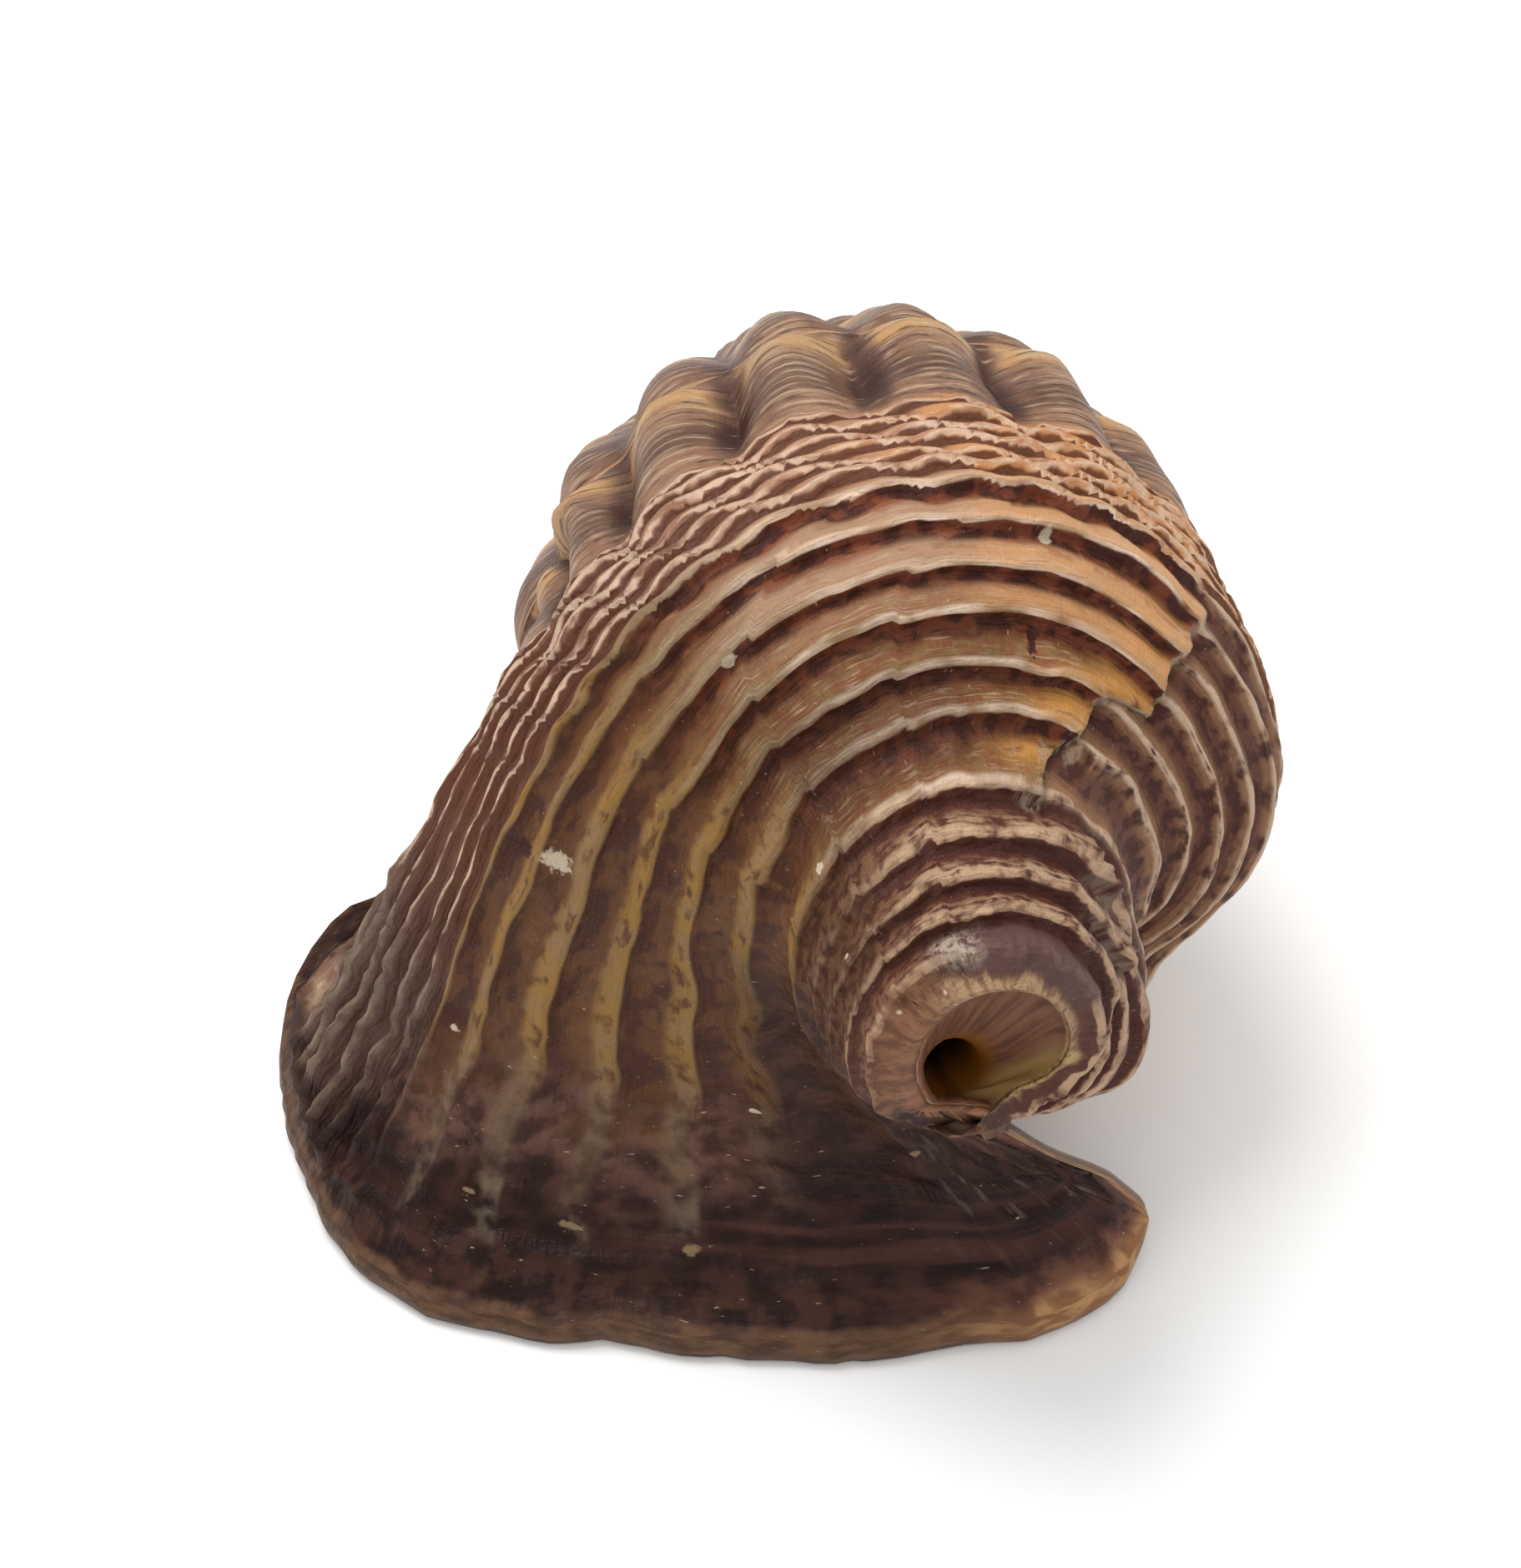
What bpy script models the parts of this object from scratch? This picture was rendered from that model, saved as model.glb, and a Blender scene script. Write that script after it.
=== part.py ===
"""Cerith shell: one empty sea-snail shell lying on its flared lip, as one closed solid.

Lengths in the formulas are millimetres; the mesh is written in metres.
The shell is described on its own axis: "along" runs from the tip of the spire to the siphonal neck,
"out" is the distance from the axis, and the turn angle grows toward the mouth
(0 right, 90 top, 180 left, 270 underneath, seen from the neck end).
"""
import math

import bmesh
import bpy
import numpy as np
from mathutils import Vector

MM = 0.001

# ---- growth of the whorls -------------------------------------------------------------------
SPIRE_GROWTH = 1.25          # size ratio from one whorl to the next, in the spire
LAST_OUT_GROWTH = 1.079      # the last whorl widens more slowly
LAST_ALONG_GROWTH = 1.14     # and lengthens more slowly
OUT_SWITCH_ANGLE = -230.0    # turn angle where the slower widening sets in
ALONG_SWITCH_ANGLE = -200.0
SWITCH_WIDTH = 50.0
REFERENCE_ANGLE = 90.0       # the profile below is measured at the top of the last whorl
PERIPHERY = 0.27             # profile position where the next whorl's seam lands

# profile of the last whorl: position, distance out from the axis, distance along it
PROFILE = [
    (0.00, 8.85, 25.12), (0.04, 9.25, 25.59), (0.10, 9.52, 26.29), (0.16, 9.84, 27.04),
    (0.22, 10.09, 27.75), (0.27, 10.26, 28.57), (0.33, 10.33, 30.24), (0.39, 10.13, 31.80),
    (0.45, 9.62, 33.25), (0.51, 8.92, 34.23), (0.57, 7.97, 34.98), (0.64, 6.77, 35.66), (0.71, 5.63, 36.32),
    (0.78, 4.63, 37.52), (0.84, 4.03, 38.72), (0.89, 3.53, 39.82), (0.94, 2.98, 40.72), (0.98, 2.33, 41.52),
    (1.00, 1.83, 41.92),
]
NECK_DROP = 0.5              # the neck bends this far toward the underside
SPIRE_RISE = 2.3             # the spire's own axis lies this much higher than the neck's
SPIRE_SIDE = 0.2             # and this much to the right
SPIRE_BEND = (30.0, 23.0)    # the axis bends between these distances along it

# ---- how the shell lies -----------------------------------------------------------------------
AXIS_TILT = 21.0             # the neck end stands up by this angle
AXIS_LIFT = 1.0              # height of the tip of the cone over the table
TO_MIDDLE = (3.6225, 21.2125, 0.0)  # moves the finished shell over the origin

# ---- axial folds --------------------------------------------------------------------------------
FOLDS_PER_WHORL = 16
FOLD_HEIGHT = 0.060          # share of the radius
FOLD_PHASE = 99.0
FOLD_PROFILE = [(0.0, 0.3), (0.05, 1.0), (0.12, 1.0), (0.2, 0.75), (0.27, 0.35), (0.36, 0.08), (0.42, 0.0),
                (1.0, 0.0)]

# ---- groove and old lip (varix) low on the right -------------------------------------------------
GROOVE_ANGLE = -40.0
GROOVE_WIDTH = 15.0
GROOVE_DEPTH = 0.9
VARIX_ANGLE = -60.0
VARIX_WIDTH = 15.0
VARIX_HEIGHT = 0.6
SHOULDER_ANGLE = -5.0
SHOULDER_WIDTH = 24.0
SHOULDER_HEIGHT = 0.5

# ---- rim of the siphonal hole, an oval at the end of the neck -------------------------------------
RIM_SIDE = -0.6
RIM_DORSAL = -1.8
RIM_ALONG = 41.92
RIM_HALF_WIDTH = 1.95
RIM_HALF_HEIGHT = 2.5
RIM_SLANT = 0.35
RIM_PINCH = 0.3              # the rim is drawn in at its lower right
RIM_PINCH_ANGLE = -50.0
RIM_PINCH_WIDTH = 35.0
RIM_PINCH_WIDTH_BELOW = 20.0
NECK_START = 0.74            # profile position where the neck starts to bend to the rim

# ---- flared lip: profile position, then the top edge of the margin (x, y, z) in the lying frame ----
LIP_EDGE = 1.0               # thickness of the lip's edge
LIP_SPREAD = 0.15            # the foot of the edge stands out this far
LAST_FOLD_ANGLE = 215.0      # the folds on the lip stand out no lower than this
LIP_FOLD_RADIUS = 10.0       # radius that sets their height
LIP_END = (0.3, 1.1, -0.5)   # right end of the lip: its edge is this thick, toward the body
LIP_END_TURN = (0.86, 0.92)  # profile positions where the lip's end turns back to the neck
LIP_WING = (0.9, -0.3, -0.9)  # the same at the wing beside the seam
LIP_WING_TURN = (0.12, 0.26)
LID_TUCK = (0.8, 3.4, 2.0)   # the lid is pushed into the body behind the neck
LID_TUCK_TURN = (0.72, 0.84, 0.96, 1.02)
LIP_SUNK = 0.4               # the lip is modelled this much lower, then cut flat at the table
MARGIN = [
    (0.06, -12.6, -24.2, 6.6), (0.13, -15.5, -23.0, 4.2), (0.20, -17.2, -23.8, 2.0),
    (0.30, -17.7, -26.9, 1.0), (0.40, -17.1, -30.9, 1.0), (0.50, -14.9, -34.2, 1.0),
    (0.58, -11.5, -35.9, 1.0), (0.66, -7.5, -37.3, 1.0), (0.74, -3.0, -38.4, 1.0),
    (0.81, 1.4, -38.6, 1.0), (0.87, 4.8, -37.4, 1.0), (0.905, 5.7, -36.0, 1.3),
    (0.94, 4.7, -35.6, 3.2), (0.97, 2.3, -37.2, 7.0),
]
# direction and strength with which the lip meets its margin
FLARE = [
    (0.00, -1.0, 0.5, -1.0), (0.06, -5.0, 1.5, -1.0), (0.13, -6.0, 2.0, -2.0), (0.20, -6.0, 0.5, -4.0),
    (0.30, -4.5, -0.5, -6.5), (0.40, -5.0, -2.0, -5.5), (0.50, -4.0, -4.5, -4.5), (0.66, -1.5, -6.5, -3.5),
    (0.75, 0.5, -6.0, -4.0), (0.81, 2.0, -4.5, -4.5), (0.87, 4.0, -2.5, -4.5), (0.91, 4.5, 0.0, -4.5),
    (0.95, 3.0, 0.5, -4.0), (1.00, 1.5, -0.3, -0.5),
]
# turn angle where each profile position leaves the even spiral
LEAVE = [(0.0, 150.0), (0.1, 135.0), (0.3, 125.0), (0.5, 130.0), (0.7, 150.0), (0.85, 178.0), (1.0, 205.0)]
SEAM_END_ANGLE = 205.0
MOUTH_ANGLE = 270.0
INNER_LIP_TOP = -155.0       # the inner lip runs from here on the seam
INNER_LIP_NECK = -90.0       # to here on the neck
INNER_LIP_TURN = 0.55        # profile position where it starts to turn to the neck

# ---- walls and hollow ------------------------------------------------------------------------------
WALL = 1.1
CALLUS = 0.25                # thin glaze over the wall behind the mouth
RIM_REST = 1.5               # width of the flat underside of the lip
LID_REST = 2.2               # the lid over the mouth starts this far in
HOLLOW_START_ANGLE = 40.0
HOLLOW_OPENING_ANGLES = (130.0, 240.0)  # the hollow spreads sideways over these turn angles
HOLLOW_LOW = (0.22, 0.30)    # profile position of its seam side: inside, at the mouth
HOLLOW_HIGH = (0.70, 0.825)  # and of its neck side
HOLLOW_BACK = (0.77, 0.36)   # the same two sides on the whorl behind
HOLLOW_SETTLE = 0.8          # from here on the hollow settles onto the lip's underside
HOLLOW_BLIND_SIZE = 0.03     # its rounded blind end
HOLLOW_BLIND_LENGTH = 0.16
HOLLOW_MOUTH_HEIGHT = -0.2
HOLLOW_OUT = 3.0             # the cutter goes on this far below the table
HOLLOW_ROWS = 26
HOLLOW_OUTER_POINTS = 11
HOLLOW_BACK_POINTS = 8
CANAL_RADIUS = 0.9
CANAL_OUTER_END = (-0.7, -42.0, 15.6)
CANAL_INNER_END = (-2.4, -33.6, 8.6)

SKIN_GRAIN = 0.34            # size of the even skin's faces before thinning
SKIN_KEEP = 0.12             # share of the triangles kept
SKIN_SMOOTHING = 0.5
SKIN_SMOOTHING_ROUNDS = 7
TABLE_SIZE = 120.0

# ---- mesh fineness ----------------------------------------------------------------------------------
ROWS_PER_WHORL = 76
SPIRE_WHORLS = 8
SPIRE_STEPS = [0.0, 0.09, 0.18, 0.27]
BASE_STEPS = [0.34, 0.41, 0.48, 0.55, 0.62, 0.69, 0.755, 0.81, 0.86, 0.90, 0.935, 0.97, 1.0]
STEPS = SPIRE_STEPS + BASE_STEPS
SEAM_STEP = len(SPIRE_STEPS) - 1


def curve_through(table, column):
    """Smooth curve through a table of points that never overshoots between them."""
    xs = np.array([row[0] for row in table], float)
    ys = np.array([row[column] for row in table], float)
    gaps = np.diff(xs)
    slopes = np.diff(ys) / gaps
    tangents = np.zeros_like(ys)
    for i in range(1, len(ys) - 1):
        if slopes[i - 1] * slopes[i] > 0.0:
            w1 = 2.0 * gaps[i] + gaps[i - 1]
            w2 = gaps[i] + 2.0 * gaps[i - 1]
            tangents[i] = (w1 + w2) / (w1 / slopes[i - 1] + w2 / slopes[i])
    tangents[0] = slopes[0]
    tangents[-1] = slopes[-1]

    def value(x):
        x = np.clip(x, xs[0], xs[-1])
        i = int(np.clip(np.searchsorted(xs, x) - 1, 0, len(gaps) - 1))
        h = gaps[i]
        t = (x - xs[i]) / h
        start = (1 + 2 * t) * (1 - t) ** 2 * ys[i] + t * (1 - t) ** 2 * h * tangents[i]
        end = t * t * (3 - 2 * t) * ys[i + 1] + t * t * (t - 1) * h * tangents[i + 1]
        return float(start + end)

    return value


profile_out = curve_through(PROFILE, 1)
profile_along = curve_through(PROFILE, 2)
fold_share = curve_through(FOLD_PROFILE, 1)


def smooth_step(x):
    x = min(max(x, 0.0), 1.0)
    return x * x * (3.0 - 2.0 * x)


def ramp(x, start, full):
    return smooth_step((x - start) / (full - start))


def bump(angle, centre, width):
    return math.exp(-((angle - centre) / width) ** 2)


def growth(angle, last_ratio, switch_angle):
    """Size at a turn angle relative to the reference angle."""
    early = math.log(SPIRE_GROWTH) / 360.0
    late = math.log(last_ratio) / 360.0

    def log_size(a):
        softened = SWITCH_WIDTH * math.log1p(math.exp((switch_angle - a) / SWITCH_WIDTH))
        return late * a - (early - late) * softened

    return math.exp(log_size(angle) - log_size(REFERENCE_ANGLE))


def even_point(angle, position):
    out = profile_out(position) * growth(angle, LAST_OUT_GROWTH, OUT_SWITCH_ANGLE)
    along = profile_along(position) * growth(angle, LAST_ALONG_GROWTH, ALONG_SWITCH_ANGLE)
    return out, along


def whorl_point(angle, position):
    """Distance out and along of the whorl, with its seam laid on the whorl before."""
    out, along = even_point(angle, position)
    share = max(1.0 - position / 0.2, 0.0) ** 2
    if share > 0.0:
        seam_out, seam_along = even_point(angle - 360.0, PERIPHERY)
        own_out, own_along = even_point(angle, 0.0)
        out += (seam_out - own_out) * share
        along += (seam_along - own_along) * share
    return out, along


def lying(side, along, dorsal):
    """Shell's own frame to the lying frame."""
    tilt = math.radians(AXIS_TILT)
    y = -along * math.cos(tilt) + dorsal * math.sin(tilt)
    z = along * math.sin(tilt) + dorsal * math.cos(tilt) + AXIS_LIFT
    return np.array((side, y, z))


def rim_point(angle):
    turn = math.radians(angle)
    pinch = 1.0 - RIM_PINCH * bump(angle, RIM_PINCH_ANGLE, RIM_PINCH_WIDTH)
    side = RIM_SIDE + RIM_HALF_WIDTH * pinch * math.cos(turn)
    if angle < 0.0:
        pinch = 1.0 - RIM_PINCH * bump(angle, RIM_PINCH_ANGLE, RIM_PINCH_WIDTH_BELOW)
    rise = RIM_HALF_HEIGHT * pinch * math.sin(turn)
    return np.array((side, RIM_ALONG + RIM_SLANT * rise, RIM_DORSAL + rise))


def relief(angle, position, out):
    """Height of the axial folds, groove and old lip over the even whorl."""
    wave = math.cos(math.radians(FOLDS_PER_WHORL * (angle - FOLD_PHASE)))
    height = out * FOLD_HEIGHT * fold_share(position) * wave
    if angle > -120.0:
        body = smooth_step((position - 0.1) / 0.3) * (1.0 - smooth_step((position - 0.66) / 0.2))
        height -= GROOVE_DEPTH * body * bump(angle, GROOVE_ANGLE, GROOVE_WIDTH)
        height += VARIX_HEIGHT * body * bump(angle, VARIX_ANGLE, VARIX_WIDTH)
        height += SHOULDER_HEIGHT * body * bump(angle, SHOULDER_ANGLE, SHOULDER_WIDTH)
    return height


def spiral_surface(angle, position, with_relief=True):
    out, along = whorl_point(angle, position)
    if with_relief:
        out += relief(angle, position, out)
    turn = math.radians(angle)
    bent = ramp(along, *SPIRE_BEND)
    point = np.array((out * math.cos(turn) + SPIRE_SIDE * bent, along, out * math.sin(turn) + SPIRE_RISE * bent))
    point[2] -= NECK_DROP * smooth_step((position - 0.6) / 0.3)
    share = smooth_step((position - NECK_START) / (1.0 - NECK_START))
    if share > 0.0:
        end_out, end_along = whorl_point(angle, 1.0)
        end = np.array((end_out * math.cos(turn), end_along, end_out * math.sin(turn) - NECK_DROP))
        point = point + share * (rim_point(angle) - end)
    return lying(*point)


def table_values(table, position):
    return np.array([curve(position) for curve in table])


def margin_table():
    start = spiral_surface(SEAM_END_ANGLE, 0.0)
    end = spiral_surface(MOUTH_ANGLE, 1.0)
    return [(0.0, *start)] + MARGIN + [(1.0, *end)]


full_margin = margin_table()
margin_curves = [curve_through(full_margin, column) for column in (1, 2, 3)]
flare_curves = [curve_through(FLARE, column) for column in (1, 2, 3)]
leave_angle = curve_through(LEAVE, 1)


def outer_surface(angle, position):
    """Outside of the shell; past the leaving angle each line runs out to the lip's margin."""
    leave = leave_angle(position)
    if angle <= leave:
        return spiral_surface(angle, position)
    step = 0.5
    start = spiral_surface(leave, position, False)
    ahead = spiral_surface(leave + step, position, False)
    behind = spiral_surface(leave - step, position, False)
    heading = (ahead - behind) / (2.0 * step)
    reach = (SEAM_END_ANGLE + (MOUTH_ANGLE - SEAM_END_ANGLE) * smooth_step(position / 0.5) - leave) / 3.0
    end = table_values(margin_curves, position)
    arrive = table_values(flare_curves, position)
    t = (angle - leave) / (MOUTH_ANGLE - leave)
    first = start + heading * reach
    last = end - arrive
    point = ((1 - t) ** 3 * start + 3 * (1 - t) ** 2 * t * first
             + 3 * (1 - t) * t * t * last + t ** 3 * end)
    turn = math.radians(min(angle, LAST_FOLD_ANGLE))
    out = lying(math.cos(turn), 0.0, math.sin(turn)) - lying(0.0, 0.0, 0.0)
    wave = math.cos(math.radians(FOLDS_PER_WHORL * (angle - FOLD_PHASE)))
    height = LIP_FOLD_RADIUS * FOLD_HEIGHT * fold_share(position) * wave * (1.0 - t)
    return point + out * height


def seam_angle(row):
    """Turn angle of a row on the seam: even, then slower along the lip."""
    angle = INNER_LIP_TOP + (MOUTH_ANGLE - INNER_LIP_TOP) * row / ROWS_PER_WHORL
    leave = leave_angle(0.0)
    if angle <= leave:
        return angle
    share = (angle - leave) / (MOUTH_ANGLE - leave)
    return leave + (SEAM_END_ANGLE - leave) * share


def start_angle(position):
    """Turn angle of the inner lip for a profile position."""
    share = smooth_step((position - INNER_LIP_TURN) / (1.0 - INNER_LIP_TURN))
    return INNER_LIP_TOP + (INNER_LIP_NECK - INNER_LIP_TOP) * share


def body_angle(row, position):
    start = start_angle(position)
    return start + (MOUTH_ANGLE - start) * row / ROWS_PER_WHORL


def inset_outline(points, distance):
    """Points of the margin moved inward in plan, toward the middle of the mouth."""
    moved = []
    last = len(points) - 1
    for i, point in enumerate(points):
        before = points[max(i - 1, 0)]
        after = points[min(i + 1, last)]
        run = np.array(after) - np.array(before)
        length = math.hypot(run[0], run[1])
        inward = np.array((-run[1], run[0], 0.0)) / max(length, 1e-6)
        moved.append(np.array(point) + inward * distance)
    return moved


def add_points(mesh, points):
    return [mesh.verts.new(Vector(tuple(point)) * MM) for point in points]


def add_face(mesh, corners):
    unique = []
    for corner in corners:
        if corner not in unique:
            unique.append(corner)
    if len(unique) >= 3:
        mesh.faces.new(unique)


def zip_rails(mesh, rail_a, rail_b):
    """Triangles between two rails that share their end points and differ in count."""
    i = 0
    j = 0
    last_a = len(rail_a) - 1
    last_b = len(rail_b) - 1
    while i < last_a or j < last_b:
        step_a = (i + 1) / last_a if i < last_a else 2.0
        step_b = (j + 1) / last_b if j < last_b else 2.0
        if step_a <= step_b:
            add_face(mesh, [rail_a[i], rail_a[i + 1], rail_b[j]])
            i += 1
        else:
            add_face(mesh, [rail_a[i], rail_b[j + 1], rail_b[j]])
            j += 1


def build_outside():
    """Filled outside of the shell as one closed mesh."""
    mesh = bmesh.new()
    rows = ROWS_PER_WHORL

    # spire, from the worn tip down; every whorl's seam uses the edge of the whorl before
    first_angle = -360.0 * (SPIRE_WHORLS + 1)
    tip_out, tip_along = whorl_point(INNER_LIP_TOP + first_angle + 360.0, 0.1)
    tip = add_points(mesh, [lying(SPIRE_SIDE, tip_along - 0.5, SPIRE_RISE)])[0]
    rows_before = [tip] * rows
    first_section = None
    section = None
    for whorl in range(SPIRE_WHORLS):
        turn_back = -360.0 * (SPIRE_WHORLS - whorl)
        edge = []
        for row in range(rows):
            angle = seam_angle(row) + turn_back
            points = [spiral_surface(angle, step) for step in SPIRE_STEPS[1:]]
            ring = [rows_before[row]] + add_points(mesh, points)
            if section is None:
                first_section = ring
            else:
                for k in range(SEAM_STEP):
                    add_face(mesh, [section[k], section[k + 1], ring[k + 1], ring[k]])
            section = ring
            edge.append(ring[-1])
        rows_before = edge

    # last whorl with the base, neck and lip
    inner_lip = None
    neck_ring = []
    for row in range(rows + 1):
        positions = STEPS[1:]
        seam = rows_before[row] if row < rows else inner_lip[SEAM_STEP]
        points = []
        for position in positions:
            if position <= PERIPHERY and row == 0:
                points.append(spiral_surface(seam_angle(0), position))
            else:
                points.append(outer_surface(body_angle(row, position), position))
        ring = [seam] + add_points(mesh, points[:-1])
        if row < rows:
            ring.append(add_points(mesh, points[-1:])[0])
            neck_ring.append(ring[-1])
        else:
            ring.append(inner_lip[-1])
        if row == 0:
            inner_lip = ring
            for k in range(SEAM_STEP):
                add_face(mesh, [section[k], section[k + 1], ring[k + 1], ring[k]])
        else:
            for k in range(len(STEPS) - 1):
                add_face(mesh, [section[k], section[k + 1], ring[k + 1], ring[k]])
        section = ring
    add_face(mesh, list(reversed(first_section)))

    # end of the neck, closed for now
    middle = sum((vert.co for vert in neck_ring), Vector()) / len(neck_ring)
    centre = mesh.verts.new(middle)
    for k, vert in enumerate(neck_ring):
        add_face(mesh, [vert, neck_ring[(k + 1) % len(neck_ring)], centre])

    # edge of the lip, its flat underside, and a lid over the mouth
    top_edge = [np.array(vert.co) / MM for vert in section]
    count = len(top_edge) - 1
    bottom = []
    for k, point in enumerate(top_edge):
        on_table = SEAM_STEP <= k <= count - SEAM_STEP - 1
        height = -LIP_SUNK if on_table else max(point[2] - LIP_EDGE, -LIP_SUNK)
        bottom.append(np.array((point[0], point[1], height)))
    bottom = inset_outline(bottom, -LIP_SPREAD)
    flat = inset_outline(bottom, LID_REST)
    inner_side = inner_lip[SEAM_STEP:]
    lid = []
    for k, point in enumerate(top_edge):
        at_end = ramp(STEPS[k], *LIP_END_TURN)
        at_wing = 1.0 - ramp(STEPS[k], *LIP_WING_TURN)
        thick = np.array(LIP_END) * at_end + np.array(LIP_WING) * at_wing
        bottom[k] = bottom[k] + (point + thick - bottom[k]) * max(at_end, at_wing)
        flat[k] = flat[k] + (point + 2.0 * thick - flat[k]) * max(at_end, at_wing)
        spot = (len(inner_side) - 1) * k / count
        below = int(spot)
        above = min(below + 1, len(inner_side) - 1)
        near = np.array(inner_side[below].co) / MM
        far = np.array(inner_side[above].co) / MM
        behind = near + (far - near) * (spot - below)
        start, full, fade, end = LID_TUCK_TURN
        tucked = ramp(STEPS[k], start, full) * (1.0 - ramp(STEPS[k], fade, end))
        lid.append((flat[k] + behind) / 2.0 + np.array(LID_TUCK) * tucked)
    rails = [section]
    for line in (bottom, flat, lid):
        rails.append([section[0]] + add_points(mesh, line[1:-1]) + [section[-1]])
    for first, second in zip(rails, rails[1:]):
        for k in range(count):
            add_face(mesh, [first[k], first[k + 1], second[k + 1], second[k]])
    zip_rails(mesh, rails[-1], inner_side)
    return mesh, bottom


def unit(vector):
    return vector / max(float(np.linalg.norm(vector)), 1e-9)


def facing(surface, angle, position, last_angle):
    """Outward direction of a surface at a turn angle and profile position."""
    step_turn = 1.0
    step_across = 0.01
    along_turn = surface(min(angle + step_turn, last_angle), position) - surface(angle - step_turn, position)
    across = surface(angle, position + step_across) - surface(angle, position - step_across)
    return unit(np.cross(along_turn, across))


def even_surface(angle, position):
    return spiral_surface(angle, position, False)


def wall_inside(angle, position):
    """Inner face of the outer wall."""
    return outer_surface(angle, position) - facing(outer_surface, angle, position, MOUTH_ANGLE) * WALL


def wall_behind(angle, position):
    """Face of the whorl before, glazed with callus."""
    return even_surface(angle, position) + facing(even_surface, angle, position, MOUTH_ANGLE) * CALLUS


def between(ends, share):
    return ends[0] + (ends[1] - ends[0]) * share


def hollow_section(row_share, flat_points):
    """Closed loop round the hollow at one station: 0 at the blind end, 1 at the mouth."""
    angle = between((HOLLOW_START_ANGLE, MOUTH_ANGLE), row_share)
    first, last = HOLLOW_OPENING_ANGLES
    opened = smooth_step((angle - first) / (last - first))
    sides = (between(HOLLOW_LOW, opened), between(HOLLOW_HIGH, opened))
    settle = smooth_step((row_share - HOLLOW_SETTLE) / (1.0 - HOLLOW_SETTLE))
    loop = []
    for k in range(HOLLOW_OUTER_POINTS):
        position = between(sides, k / (HOLLOW_OUTER_POINTS - 1))
        point = wall_inside(angle, position)
        loop.append(between((point, table_values(flat_points, position)), settle))
    for k in range(HOLLOW_BACK_POINTS):
        position = between(HOLLOW_BACK, k / (HOLLOW_BACK_POINTS - 1))
        back = between((HOLLOW_START_ANGLE - 360.0, start_angle(position)), row_share)
        loop.append(wall_behind(back, position))
    return loop


def build_hollow(bottom):
    """Cutter for the space inside the last whorl, open under the lip."""
    inner = inset_outline(bottom, RIM_REST)
    rows = [(STEPS[k], point[0], point[1], HOLLOW_MOUTH_HEIGHT) for k, point in enumerate(inner)]
    flat_points = [curve_through(rows, column) for column in (1, 2, 3)]
    mesh = bmesh.new()
    rings = []
    for row in range(HOLLOW_ROWS + 1):
        share = row / HOLLOW_ROWS
        loop = hollow_section(share, flat_points)
        middle = sum(loop) / len(loop)
        size = math.sqrt(min(HOLLOW_BLIND_SIZE + share / HOLLOW_BLIND_LENGTH, 1.0))
        rings.append([middle + (point - middle) * size for point in loop])
    rings.append([np.array((point[0], point[1], min(point[2], 0.0) - HOLLOW_OUT)) for point in rings[-1]])
    made = [add_points(mesh, ring) for ring in rings]
    count = len(made[0])
    for first, second in zip(made, made[1:]):
        for k in range(count):
            add_face(mesh, [first[k], first[(k + 1) % count], second[(k + 1) % count], second[k]])
    add_face(mesh, list(reversed(made[0])))
    add_face(mesh, made[-1])
    return mesh


def object_from(mesh, name, group, material):
    """Named object in metres over the origin, facing outward, with one material."""
    bmesh.ops.translate(mesh, verts=mesh.verts, vec=Vector(TO_MIDDLE) * MM)
    bmesh.ops.recalc_face_normals(mesh, faces=mesh.faces)
    data = bpy.data.meshes.new(name)
    mesh.to_mesh(data)
    mesh.free()
    made = bpy.data.objects.new(name, data)
    group.objects.link(made)
    data.materials.append(material)
    return made


def canal_cutter(group, material):
    """Round passage from the hole in the neck into the hollow."""
    start = Vector(CANAL_OUTER_END)
    end = Vector(CANAL_INNER_END)
    run = end - start
    mesh = bmesh.new()
    turn = run.to_track_quat("Z", "Y").to_matrix().to_4x4()
    turn.translation = (start + end) / 2.0 * MM
    bmesh.ops.create_cone(mesh, cap_ends=True, segments=16, radius1=CANAL_RADIUS * MM,
                          radius2=CANAL_RADIUS * MM, depth=run.length * MM, matrix=turn)
    return object_from(mesh, "canal_cutter", group, material)


def cut(target, cutter, solver="MANIFOLD"):
    modifier = target.modifiers.new("cut " + cutter.name, "BOOLEAN")
    modifier.operation = "DIFFERENCE"
    modifier.solver = solver
    modifier.object = cutter
    cutter.hide_render = True
    cutter.display_type = "WIRE"


def clean_up(target):
    """One even skin over the joined pieces, thinned to few triangles, then cut flat where it rests."""
    skin = target.modifiers.new("even skin", "REMESH")
    skin.mode = "VOXEL"
    skin.voxel_size = SKIN_GRAIN * MM
    soft = target.modifiers.new("soft skin", "SMOOTH")
    soft.factor = SKIN_SMOOTHING
    soft.iterations = SKIN_SMOOTHING_ROUNDS
    thin = target.modifiers.new("fewer triangles", "DECIMATE")
    thin.ratio = SKIN_KEEP


def table_cutter(group, material):
    """Block under the table plane."""
    mesh = bmesh.new()
    size = TABLE_SIZE * MM
    bmesh.ops.create_cube(mesh, size=size)
    bmesh.ops.translate(mesh, verts=mesh.verts, vec=(0.0, 0.0, -size / 2.0))
    return object_from(mesh, "table_cutter", group, material)


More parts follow.
